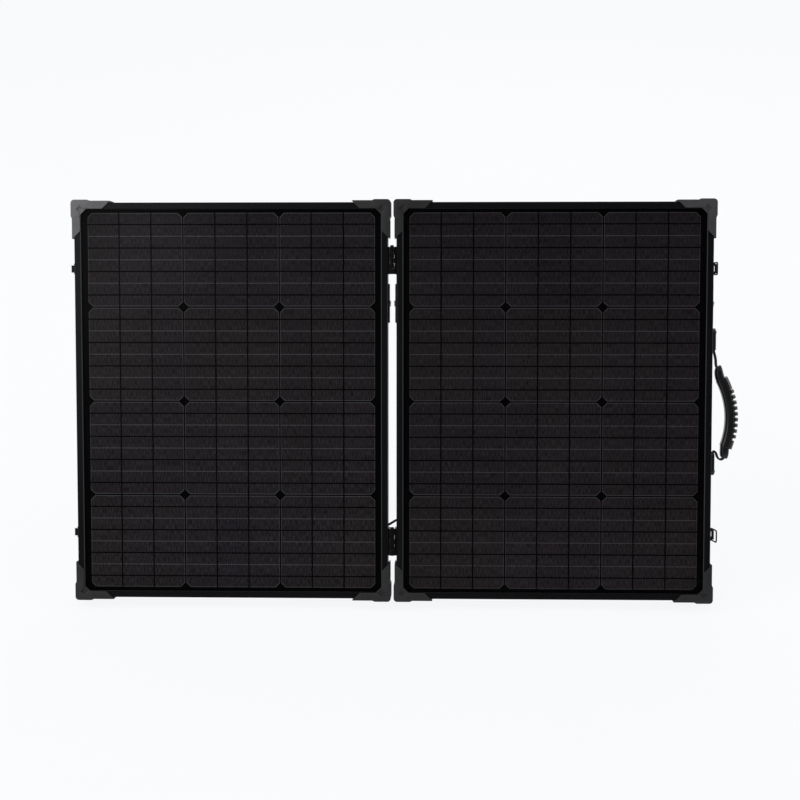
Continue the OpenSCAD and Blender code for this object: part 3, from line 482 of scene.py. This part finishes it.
# %% Silicon
def silicon(name, side, tint, warm, silver_cool, silver_warm, line_grey):
    """Cells of one panel: two near-black tints, two greys of the silver and that of the outlines."""
    low, high = on_bench(side + "_cells")
    finish = Finish(name, tint, 0.3, 0.0, specular_ior_level=0.05)
    x, y, z = finish.bench_place()
    across = (x - low.x) / strip_pitch
    up = (z - low.z) / row_pitch
    in_strip = across.fract() * strip_pitch
    in_row = up.fract() * row_pitch
    cell_w = strip_pitch - cell_gap
    cell_h = row_pitch - cell_gap
    # each strip and each row has its own shade
    spot = finish.joined(across.floor(), up.floor(), 0.5)
    shade = finish.node("TexWhiteNoise", {"noise_dimensions": "3D"}, spot)
    wafer = finish.node("TexWhiteNoise", {"noise_dimensions": "3D"},
                        finish.joined((across / strips_per_wafer).floor(), up.floor(), 7.5))
    drift = finish.noise(2.2, 1)
    mixed = (0.35 * shade + 0.35 * wafer + 0.6 * drift).smaller(1)
    base = finish.blend(mixed, tint, warm)
    silver = finish.blend(mixed, silver_cool, silver_warm)
    # the silver is drawn stronger towards the foot of the panel, by height alone
    foot_lift = 1.45 - 0.45 * ((z - low.z) / (high.z - low.z))
    # fingers too fine to see one by one, printed a little thicker in some places than in others
    fingers = stripe(x, finger_pitch, finger_w)
    grain = finish.noise(1, 2, place=finish.joined(x * 560, 0.0, z * 110))
    patch = finish.noise(7, 2)
    printed = fingers * 0.12 + (grain - 0.36) * 1.7 + patch * 0.3 - 0.12
    lined = finish.blend(printed * foot_lift, base, silver)
    # the light line half-way between two ribbons
    ribbon_pitch = cell_h / ribbons_per_cell
    between = ((in_row / ribbon_pitch).fract() - 0.5).absolute() * ribbon_pitch
    contact = between > ribbon_pitch / 2 - contact_half
    marked = finish.blend(contact * 0.7, lined, line_grey)
    # each wafer is outlined: the coating ends short of its edges and of its cut corners
    wafer_w = strips_per_wafer * strip_pitch - cell_gap
    in_wafer = (across / strips_per_wafer).fract() * (wafer_w + cell_gap)
    side_gap = in_wafer.smaller(wafer_w - in_wafer)
    end_gap = in_row.smaller(cell_h - in_row)
    cut_gap = (side_gap + end_gap - wafer_cut) * 0.7
    outline = side_gap.smaller(end_gap - 0.4 * mm).smaller(cut_gap) < outline_w
    outlined = finish.blend(outline * 0.6, marked, line_grey)
    # the saw cuts and the cells' ends are bare and black, and a dark band runs along each side of the
    # ribbons
    strip_gap = in_strip.smaller(cell_w - in_strip)
    bare = strip_gap.smaller(between - 0.65 * mm).smaller(end_gap) < bare_w
    finish.feed("Base Color", finish.blend(bare * 0.92, outlined, bare_black))
    finish.feed("Roughness", 0.32 + 0.1 * shade)
    return finish.material


# the left panel's cells are drawn a little lighter than the right panel's, in every tint and grey
silicon_left = silicon("silicon_left", "left", (0.0060, 0.0050, 0.0075), (0.0085, 0.0068, 0.0074),
                       (0.036, 0.029, 0.040), (0.038, 0.033, 0.033), (0.075, 0.072, 0.078))
silicon_right = silicon("silicon_right", "right", (0.0054, 0.0045, 0.0068), (0.0080, 0.0062, 0.0068),
                        (0.033, 0.026, 0.037), (0.034, 0.029, 0.030), (0.062, 0.058, 0.064))
print("silicon for both panels")

# %% [markdown]
# The ribbons are copper with a black coat, blacker than the cells. The back sheet is a
# matt black film with a faint weave from the roller. Over them lies tempered glass: its face is
# lightly patterned, so it gives a broad soft sheen instead of a mirror's image. A thin clear
# layer does that with a low alpha and a rough gloss, and lets the cells show through.

# %% Ribbons, back sheet and glass
ribbon = Finish("coated_ribbon", bare_black, 0.5, specular_ior_level=0.01)
ribbon_dust = ribbon.noise(160, 2)
ribbon.feed("Base Color", ribbon.blend(ribbon_dust, (0.0006, 0.0006, 0.0007), (0.0016, 0.0016, 0.0018)))

film = Finish("back_film", bare_black, 0.6, specular_ior_level=0.01)
film_place = film.bench_place()
weave_pitch = 1.2 * mm
weave = (stripe(film_place[0], weave_pitch, weave_pitch / 2)
         * stripe(film_place[2], weave_pitch, weave_pitch / 2))
film_clouds = film.noise(6, 3)
film.feed("Base Color", film.blend(film_clouds, (0.0006, 0.0006, 0.0007), (0.0016, 0.0016, 0.0018)))
film.feed("Roughness", 0.5 + 0.15 * film_clouds)
film.bump(weave, 0.12, 0.02 * mm)

glass = Finish("tempered_glass", (0.005, 0.005, 0.006), 0.3)
glass.shader.inputs["IOR"].default_value = 1.34
pattern = glass.noise(1500, 2)
smear = glass.noise(5, 4)
glass.feed("Roughness", 0.24 + 0.12 * smear)
glass.feed("Alpha", 0.03 + 0.03 * smear)
glass.bump(pattern, 0.12, 0.01 * mm)
print("ribbon, film and glass")

# %% [markdown]
# The kickstands and the keys inside the frame are plain anodised aluminium: a pale satin metal
# with drawing lines along it. Bolts, screws and pins are zinc plated, so slightly blue and
# cloudy, while the latches are steel with a thin black plating that wears to grey where parts
# rub. Wear is drawn where the noise is high, never as an even coat.

# %% Metals
def satin_metal(name, color, roughness, lines, stretch):
    finish = Finish(name, color, roughness, 1.0)
    drawn = finish.noise(1, 4, stretch=stretch)
    clouds = finish.noise(22, 3)
    light = tuple(min(1, c * 1.08) for c in color)
    dark = tuple(c * 0.88 for c in color)
    finish.feed("Base Color", finish.blend(clouds, dark, light))
    finish.feed("Roughness", roughness - 0.06 + 0.14 * drawn)
    finish.bump(drawn, lines, 0.02 * mm)
    return finish.material


bare_aluminium = satin_metal("bare_aluminium", (0.62, 0.63, 0.65), 0.36, 0.1, (1600, 1600, 14))
zinc_steel = satin_metal("zinc_steel", (0.60, 0.62, 0.65), 0.3, 0.06, (500, 500, 500))


def black_plating(name, base, worn, amount):
    finish = Finish(name, base, 0.36, 0.5, specular_ior_level=0.12)
    patches = finish.noise(130, 4)
    worn_spots = (patches > 0.68) * amount
    finish.feed("Base Color", finish.blend(worn_spots, base, worn))
    finish.feed("Roughness", 0.3 + 0.2 * patches)
    finish.bump(patches, 0.1, 0.02 * mm)
    return finish.material


latch_steel = black_plating("latch_steel", (0.012, 0.012, 0.013), (0.16, 0.16, 0.17), 0.35)
hinge_casting = black_plating("hinge_casting", (0.004, 0.004, 0.0045), (0.03, 0.03, 0.033), 0.15)
plate_steel = black_plating("plate_steel", (0.012, 0.012, 0.013), (0.07, 0.07, 0.075), 0.2)

diode_case = Finish("diode_case", (0.02, 0.02, 0.02), 0.4)
band = stripe(diode_case.bench_place()[0], 10 * mm, 2 * mm)
diode_case.feed("Base Color", diode_case.blend(band, (0.02, 0.02, 0.02), (0.45, 0.45, 0.45)))
print("metals ready")

# %% [markdown]
# Webbing is woven: rows of small bumps across its width, a thicker cord at each edge. The strap
# pieces carry a UV map that runs along them, so the weave follows every bend.

# %% Webbing
webbing = Finish("webbing", (0.012, 0.012, 0.013), 0.75)
uv = webbing.node("UVMap", {})
uv_split = webbing.node("SeparateXYZ", {}, uv)
along = Value(webbing, uv_split.socket.node.outputs[0])
across = Value(webbing, uv_split.socket.node.outputs[1])
rib = (along * 2 * math.pi / (1.6 * mm)).sine()
cross_rib = (across * 2 * math.pi / (1.1 * mm)).sine()
cloth = 0.5 + 0.25 * rib + 0.25 * cross_rib * rib
webbing.feed("Base Color", webbing.blend(cloth, (0.007, 0.007, 0.0075), (0.022, 0.022, 0.024)))
webbing.bump(cloth, 0.6, 0.15 * mm)
print("webbing ready")

# %% [markdown]
# The rigid parts keep the shapes that the frame gives them and only take a finish. A cut rail or
# a moulded cover never has a perfectly sharp edge, though, and it is the tiny round on the edge
# that catches the light. Weld joins each part's loose triangles, and a narrow bevel then rounds
# only the edges sharper than 35 degrees, as the broken edge of a real part.

# %% Finishes of the frame's parts
def dress(node, material, edge=0.0):
    """Gives a frame part its finish, and a rounded edge of the given width in millimetres."""
    obj = frame["nodes"][node]
    obj.data.materials.clear()
    obj.data.materials.append(material)
    if edge:
        weld = obj.modifiers.new("weld", "WELD")
        weld.merge_threshold = 0.002 * mm
        bevel = obj.modifiers.new("edge", "BEVEL")
        bevel.width = edge * mm
        bevel.segments = 2
        bevel.limit_method = "ANGLE"
        bevel.angle_limit = math.radians(35)
        bevel.use_clamp_overlap = True


sides = ("left", "right")
for side in sides:
    dress(side + "_top_rail", rail_across, 0.3)
    dress(side + "_bottom_rail", rail_across, 0.3)
    dress(side + "_inner_rail", rail_upright, 0.3)
    dress(side + "_outer_rail", rail_upright, 0.3)
    dress(side + "_corner_keys", bare_aluminium)
    dress(side + "_gasket", seal_rubber)
    dress(side + "_glass", glass.material)
    dress(side + "_cells", silicon_left if side == "left" else silicon_right)
    dress(side + "_ribbons", ribbon.material)
    dress(side + "_backsheet", film.material)
    dress(side + "_junction_box", box_plastic, 0.5)
    dress(side + "_junction_lid", box_plastic, 0.5)
    dress(side + "_diodes", diode_case.material)
    dress(side + "_cable_gland", seal_rubber, 0.25)
    dress(side + "_pivot_plates", plate_steel, 0.4)
    dress(side + "_stand_pivots", zinc_steel, 0.25)
    dress(side + "_stand_frame", bare_aluminium, 0.4)
    dress(side + "_stand_feet", foot_rubber, 0.8)
    dress(side + "_hinge_leaves", hinge_casting, 0.3)
    dress(side + "_screws", zinc_steel, 0.15)
    for place in ("top_inner", "top_outer", "bottom_inner", "bottom_outer"):
        dress(side + "_" + place + "_guard", guard_plastic, 0.4)

dress("hinge_pins", hinge_casting, 0.3)
dress("latch_bases", latch_steel, 0.15)
dress("latch_catches", latch_steel, 0.15)
dress("handle_brackets", box_plastic, 0.6)
for which in ("upper", "lower"):
    dress(which + "_latch_lever", latch_steel, 0.15)
    dress(which + "_latch_bail", latch_steel)
dress("handle_core", grip_rubber)
dress("handle_sleeve", grip_rubber)
dress("handle_strap", webbing.material)
dress("link_cable", cable_sheath)
print("dressed", len(frame["nodes"]), "frame parts")

# %% [markdown]
# The grip is a rubber sleeve pressed onto a stiff curved core, smooth towards the panel and
# ridged for the fingers, with a collar at each end. It is a section swept along an arc, so the
# natural tool is spin: a plane with rounded corners is turned about the arc's centre in small
# even steps. The steps are counted so that whole rings of faces make each ridge. Those rings are
# then fattened on the outer side only, and a narrow bevel and one subdivision soften them.

# %% The grip's arc
sleeve_end = on_bench("handle_sleeve")[1].x
grip_outer = 153 * mm
grip_inner = 131 * mm
grip_thick = 17 * mm
grip_wide = 22 * mm
arc_centre = Vector((sleeve_end - grip_outer, (front + back) / 2, -27.7 * mm))
step_angle = 0.74
steps_in_sleeve = 65
sleeve_top = 28.0
collar_steps = 11
ridge_count = 9
ridge_start = 12
ridge_every = 5
ridge_steps = 3
low_collar_step = 57


def arc_place(radius, degrees):
    """A point in the middle of the grip's width, at a radius and an angle above level."""
    a = math.radians(degrees)
    return arc_centre + Vector((radius * math.cos(a), 0, radius * math.sin(a)))


def section(name, thick, wide, corner, degrees):
    """A rounded outline on the arc, standing square to it, ready to be swept."""
    deselect()
    middle = arc_place(grip_inner + grip_thick / 2, degrees)
    bpy.ops.mesh.primitive_plane_add(size=1, location=(0, 0, 0))
    obj = bpy.context.object
    obj.name = name
    obj.data.transform(Matrix.Diagonal((thick, wide, 1, 1)))
    edit("VERT")
    bpy.ops.mesh.select_all(action="SELECT")
    bpy.ops.mesh.bevel(affect="VERTICES", offset=corner, segments=4)
    bpy.ops.mesh.delete(type="ONLY_FACE")
    end_edit()
    obj.data.transform(Matrix.Translation(middle) @ Matrix.Rotation(-math.radians(degrees), 4, "Y"))
    return obj


def sweep(obj, degrees, steps):
    """Spins the outline down the arc and closes both ends."""
    edit("VERT")
    bpy.ops.mesh.select_all(action="SELECT")
    bpy.ops.mesh.spin(steps=steps, angle=-math.radians(degrees), center=arc_centre, axis=(0, 1, 0))
    bpy.ops.mesh.select_all(action="SELECT")
    bpy.ops.mesh.remove_doubles(threshold=0.01 * mm)
    bpy.ops.mesh.select_all(action="DESELECT")
    bpy.ops.mesh.select_non_manifold()
    bpy.ops.mesh.edge_face_add()
    bpy.ops.mesh.select_all(action="SELECT")
    bpy.ops.mesh.normals_make_consistent(inside=False)
    end_edit()
    return obj


def angle_at(point):
    """Angle of a point round the grip's arc, in degrees above level."""
    d = point - arc_centre
    return math.degrees(math.atan2(d.z, d.x))


def outward(face, middle):
    """How far a face looks away from the arc's centre, from -1 to 1."""
    d = middle - arc_centre
    return face.normal.dot(Vector((d.x, 0, d.z)).normalized())


# %% The sleeve
sleeve = section("grip_sleeve", grip_thick, grip_wide, 6 * mm, sleeve_top)
sweep(sleeve, step_angle * steps_in_sleeve, steps_in_sleeve)
swept = [angle_at(v.co) for v in sleeve.data.vertices]
print("sleeve from %.1f to %.1f degrees, %d faces" % (max(swept), min(swept), len(sleeve.data.polygons)))


def in_steps(middle, first, count):
    """True when a face lies in the given steps from the sleeve's top."""
    at = (sleeve_top - angle_at(middle)) / step_angle
    return first < at < first + count


def fatten(first, count, height):
    """Raises the outer side of some rings of faces."""
    edit("FACE")
    pick(sleeve, "polygons", lambda f, m: in_steps(m, first, count) and outward(f, m) > 0.3)
    bpy.ops.mesh.extrude_region_shrink_fatten(TRANSFORM_OT_shrink_fatten={"value": height})
    end_edit()


ridge_up = 4.6 * mm
collar_up = 3.4 * mm
for ridge in range(ridge_count):
    fatten(ridge_start + ridge * ridge_every, ridge_steps, ridge_up)
fatten(0, collar_steps, collar_up)
fatten(low_collar_step, steps_in_sleeve - low_collar_step, collar_up)
modify(sleeve, "BEVEL", width=0.7 * mm, segments=2, limit_method="ANGLE", angle_limit=math.radians(40))
modify(sleeve, "SUBSURF", levels=1, render_levels=1)
smooth(sleeve, 45)
sleeve.data.materials.append(grip_rubber)
lean_back(sleeve)
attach(sleeve, "handle")
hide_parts("handle_sleeve")
print("sleeve with", ridge_count, "ridges:", len(sleeve.data.polygons), "faces")

# %% [markdown]
# The core shows only at its two ends, past the collars, as stubby rounded noses that the strap
# comes out of. Each starts as a short sweep inside its collar and then runs on nearly straight,
# so its last face is extruded through a few places and shrinks a little at each.

# %% The core's ends
def core_end(name, start, degrees, places):
    """A nose from one angle on the arc, then through places (out, up, size) in millimetres."""
    nose = section(name, 15.2 * mm, 17.6 * mm, 5 * mm, start)
    sweep(nose, degrees, 4)
    far = start - degrees
    at = arc_place(grip_inner + grip_thick / 2, far)
    edit("FACE")
    pick(nose, "polygons", lambda f, m: abs(angle_at(m) - far) < 0.1)
    for out, up, size in places:
        to = Vector((rail_face + out * mm, at.y, up * mm))
        bpy.ops.mesh.extrude_region_move(TRANSFORM_OT_translate={"value": to - at})
        bpy.ops.transform.resize(value=(size, size, size), center_override=to)
        at = to
    end_edit()
    modify(nose, "BEVEL", width=0.5 * mm, segments=2, limit_method="ANGLE", angle_limit=math.radians(50))
    modify(nose, "SUBSURF", levels=1, render_levels=1)
    smooth(nose, 60)
    nose.data.materials.append(nose_rubber)
    lean_back(nose)
    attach(nose, "handle")
    return nose


rail_face = rail_high.x
top_nose = core_end("grip_nose_top", 24.0, -5.0,
                    [(13.4, 46, 1), (12.4, 52, 0.94), (11.8, 57, 0.86), (11.5, 59.8, 0.72)])
core_end("grip_nose_low", -17.0, 3.0,
         [(23.9, -80, 1), (23.6, -86, 0.98), (23.0, -91, 0.9), (22.6, -93.8, 0.76)])
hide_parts("handle_core")
print("two core ends")

# %% [markdown]
# The strap is webbing that runs out of each bracket's slot and into the core. The upper one bows
# a little and the lower one, slack under the handle's weight, rises and falls in an S. A flat
# grid is the natural start: it has a UV map that becomes the weave's own measure. Its columns are
# laid along a smooth curve, and Solidify gives the webbing its thickness.

# %% Straps
strap_width = 13 * mm
strap_thick = 2.8 * mm


def curve_through(points, steps):
    """Points on a smooth curve through the given ones, evenly many on each stretch."""
    ends = [points[0] * 2 - points[1], *points, points[-1] * 2 - points[-2]]
    smooth_points = []
    for i in range(1, len(ends) - 2):
        p0, p1, p2, p3 = ends[i - 1:i + 3]
        for k in range(steps):
            t = k / steps
            smooth_points.append(0.5 * (2 * p1 + (p2 - p0) * t + (2 * p0 - 5 * p1 + 4 * p2 - p3) * t ** 2
                                        + (3 * p1 - p0 - 3 * p2 + p3) * t ** 3))
    return [*smooth_points, points[-1]]


def strap(name, route):
    """Webbing along a route of (out, up) points in millimetres from the rail's face."""
    middle_y = (front + back) / 2
    points = [Vector((rail_face + out * mm, middle_y, up * mm)) for out, up in route]
    line = curve_through(points, 8)
    deselect()
    bpy.ops.mesh.primitive_grid_add(x_subdivisions=len(line) - 1, y_subdivisions=4, size=1)
    band = bpy.context.object
    band.name = name
    along = [0.0]
    for a, b in zip(line, line[1:]):
        along.append(along[-1] + (b - a).length)
    for vertex in band.data.vertices:
        column = round((vertex.co.x + 0.5) * (len(line) - 1))
        vertex.co = line[column] + Vector((0, vertex.co.y * strap_width, 0))
    for loop in band.data.uv_layers[0].data:
        column = round(loop.uv.x * (len(line) - 1))
        loop.uv = (along[column], loop.uv.y * strap_width)
    modify(band, "SOLIDIFY", thickness=strap_thick, offset=0)
    modify(band, "BEVEL", width=0.5 * mm, segments=2, limit_method="ANGLE", angle_limit=math.radians(50))
    smooth(band, 50)
    band.data.materials.append(webbing.material)
    lean_back(band)
    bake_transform(band)
    return band, along[-1]


upper_route = [(4, 98), (4, 90), (4.6, 84), (6.6, 76), (7.6, 70), (8.2, 62), (10.5, 55)]
lower_route = [(4, -99), (3.9, -93), (4.4, -86.5), (7.2, -82.8), (10, -86), (12.2, -92),
               (16, -96.2), (21, -95.2), (24.5, -90)]
upper_strap, upper_length = strap("strap_upper", upper_route)
lower_length = strap("strap_lower", lower_route)[1]
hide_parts("handle_strap")
print("straps %.0f and %.0f mm long" % (upper_length / mm, lower_length / mm))

# %% [markdown]
# The link cable carries the left panel's current to the right one, through a grommet in each
# inner rail. It is a round rubber lead, so a curve with a round bevel is the quickest true shape:
# the points are the ones the frame's own cable follows. It becomes a mesh.

# %% Link cable
rail_bottom = on_bench("right_inner_rail")[0].z
half_gap = inner_face / mm
cable_up = 128
cable_slope = 4
half_route = [(49.5, 0), (41, 0), (31, 4), (22, 4), (14, 0), (6, 0), (0, 0)]
cable_route = [(half_gap + along, cable_up + cable_slope + rise) for along, rise in half_route]
cable_route += [(0, cable_up)]
cable_route += [(-half_gap - along, cable_up - cable_slope + rise)
                for along, rise in reversed(half_route)]
cable_depth = 12 * mm
cable_points = [Vector((x * mm, front + cable_depth, rail_bottom + z * mm)) for x, z in cable_route]
cable_line = curve_through(cable_points, 6)
cable_curve = bpy.data.curves.new("link_lead", "CURVE")
cable_curve.dimensions = "3D"
cable_curve.bevel_depth = 2 * mm
cable_curve.bevel_resolution = 4
cable_curve.use_fill_caps = True
spline = cable_curve.splines.new("POLY")
spline.points.add(len(cable_line) - 1)
for point, place in zip(spline.points, cable_line):
    point.co = (*place, 1)
lead = bpy.data.objects.new("link_lead", cable_curve)
bpy.context.scene.collection.objects.link(lead)
take(lead)
bpy.ops.object.convert(target="MESH")
lead = bpy.context.object
smooth(lead, 60)
lead.data.materials.append(cable_sheath)
lean_back(lead)
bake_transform(lead)
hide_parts("link_cable")
lead_length = sum((b - a).length for a, b in zip(cable_line, cable_line[1:]))
print("link cable %.0f mm long" % (lead_length / mm))

# %% [markdown]
# The eight corner guards are moulded nylon, all alike but mirrored. One is modelled with its
# outer corner at the origin, and all eight are mirrored copies with their own meshes. Its outline
# is extruded through the frame's depth, and Booleans cut the room for the frame and a shallow
# square pocket where the arms meet, because they leave clean walls of even thickness. A bevel
# then rounds every edge as the mould does, which gives the guard its thin light rim. The
# fine ribs along both arms are narrow bars sunk into the surface. The two upper outer guards
# are painted lighter than the rest, a painted highlight where light falls on them, stronger on the left.

# %% Corner guard
guard_out = 4.6 * mm
guard_front = 2.5 * mm
arm = 65 * mm
wide = 14.6 * mm
depth = back - front


def prism(name, outline, y_from, y_to):
    """A block with the outline given in X and Z, reaching from one depth to another."""
    mesh = bpy.data.meshes.new(name)
    mesh.from_pydata([(x, y_from, z) for x, z in outline], [], [tuple(range(len(outline)))])
    obj = bpy.data.objects.new(name, mesh)
    bpy.context.scene.collection.objects.link(obj)
    take(obj)
    edit("FACE")
    bpy.ops.mesh.select_all(action="SELECT")
    bpy.ops.mesh.extrude_region_move(TRANSFORM_OT_translate={"value": (0, y_to - y_from, 0)})
    bpy.ops.mesh.select_all(action="SELECT")
    bpy.ops.mesh.normals_make_consistent(inside=False)
    end_edit()
    return obj


def combine(obj, other, operation):
    """Joins the other block on or cuts it out, and removes it."""
    take(obj)
    modifier = obj.modifiers.new("combine", "BOOLEAN")
    modifier.operation = operation
    modifier.object = other
    modifier.solver = "EXACT"
    bpy.ops.object.modifier_apply(modifier=modifier.name)
    bpy.data.objects.remove(other)
    return obj


def rounded(radius):
    """Points round the outer corner."""
    turns = [math.radians(180 + 90 * k / 6) for k in range(7)]
    return [(radius + radius * math.cos(a), radius + radius * math.sin(a)) for a in turns]


# the arms lie this much lower than the thicker part at the corner
thin = 1.6 * mm
arms = [(x + thin, z + thin) for x, z in rounded(4 * mm)]
arms += [(arm, thin), (arm - wide + thin, wide), (wide, wide), (wide, arm - wide + thin), (thin, arm)]
swell = 0.2 * mm
heel_front = 0.5 * mm
heel_back = 0.1 * mm
heel_end = 27 * mm
slope_end = heel_end + 5 * mm
heel = [(x - swell, z - swell) for x, z in rounded(6 * mm)]
heel += [(heel_end, -swell), (slope_end, thin + 0.4 * mm), (heel_end, wide - 1 * mm), (wide, wide),
         (wide - 1 * mm, heel_end), (thin + 0.4 * mm, slope_end), (-swell, heel_end)]
# the gusset fills the inner corner a little below the arms' faces
gusset = 11 * mm
gusset_front = 1.3 * mm
gusset_back = 1.5 * mm
sunk = wide - 3 * mm
corner = [(sunk, sunk), (wide + gusset, sunk), (wide + gusset, wide), (wide, wide + gusset),
          (sunk, wide + gusset)]
pocket_floor = 0.7 * mm
pocket_cut = 9 * mm
pocket_mid = wide + 0.6 * mm
pocket_half = 6.2 * mm
pocket = [(pocket_mid - pocket_half, pocket_mid), (pocket_mid, pocket_mid - pocket_half),
          (pocket_mid + pocket_half, pocket_mid), (pocket_mid, pocket_mid + pocket_half)]

guard = prism("guard_1", arms, -guard_front, depth + guard_front)
heel_block = prism("heel", heel, -guard_front - heel_front, depth + guard_front + heel_back)
combine(guard, heel_block, "UNION")
combine(guard, prism("gusset", corner, -gusset_front, depth + gusset_back), "UNION")
combine(guard, prism("pocket", pocket, -pocket_cut, -pocket_floor), "DIFFERENCE")
room = [(guard_out, guard_out), (arm * 2, guard_out), (arm * 2, arm * 2), (guard_out, arm * 2)]
combine(guard, prism("room", room, 0, depth), "DIFFERENCE")
modify(guard, "BEVEL", width=0.7 * mm, segments=3, limit_method="ANGLE", angle_limit=math.radians(30))
print("guard:", len(guard.data.polygons), "faces")

# %% Ribs
rib_wide = 0.8 * mm
rib_up = 0.35 * mm
front_ribs = 3
side_ribs = 8
rib_start = heel_end + 7 * mm
bars = []


def rib(start, end, z, y, on_front):
    """A bar along X, on the front face at height z or on the lower face at depth y."""
    if on_front:
        box = [(start, z - rib_wide / 2), (end, z - rib_wide / 2), (end + rib_wide, z + rib_wide / 2),
               (start, z + rib_wide / 2)]
        bars.append(prism("rib", box, y - rib_up, y + rib_up))
    else:
        box = [(start, thin - rib_up), (end, thin - rib_up),
               (end, thin + rib_up), (start, thin + rib_up)]
        bars.append(prism("rib", box, y - rib_wide / 2, y + rib_wide / 2))


for k in range(front_ribs):
    z = thin + (wide - thin) * (k + 1) / (front_ribs + 1)
    rib(rib_start, arm - z - 4 * mm, z, -guard_front, True)
for k in range(side_ribs):
    rib(rib_start, arm - 3 * mm, 0, depth * (k + 0.5) / side_ribs, False)
swap = Matrix(((0, 0, 1, 0), (0, 1, 0, 0), (1, 0, 0, 0), (0, 0, 0, 1)))
for bar in list(bars):
    bars.append(copy_of(bar, "rib_turned", swap))
for bar in bars:
    modify(bar, "BEVEL", width=0.15 * mm, segments=1)
take(guard)
for bar in bars:
    bar.select_set(True)
bpy.ops.object.join()
guard = bpy.context.object
smooth(guard, 32)
print("ribs:", len(bars))

# %% Eight guards
guard_count = 0
guard_places = ("bottom_inner", "bottom_outer", "top_inner", "top_outer")
# the two upper outer guards take the lighter copies, a painted highlight, stronger on the left
guard_looks = {("left", "top_outer"): guard_painted_highlight, ("right", "top_outer"): guard_faint_painted_highlight}
for side in sides:
    low = on_bench(side + "_bottom_rail")[0]
    high = on_bench(side + "_top_rail")[1]
    for which in guard_places:
        rightward = which.endswith("inner") == (side == "right")
        x = low.x if rightward else high.x
        z = high.z if which.startswith("top") else low.z
        turned = Matrix.Diagonal((1 if rightward else -1, 1, -1 if z == high.z else 1, 1))
        place = Matrix.Translation((x, front, z)) @ turned
        own = copy_of(guard, "guard_" + side + "_" + which,
                      bench @ place @ Matrix.Translation((-guard_out, 0, -guard_out)))
        own.data.materials.clear()
        own.data.materials.append(guard_looks.get((side, which), guard_plastic))
        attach(own, side + "_panel")
        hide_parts(side + "_" + which + "_guard")
        guard_count += 1
bpy.data.objects.remove(guard)
print(guard_count, "guards")
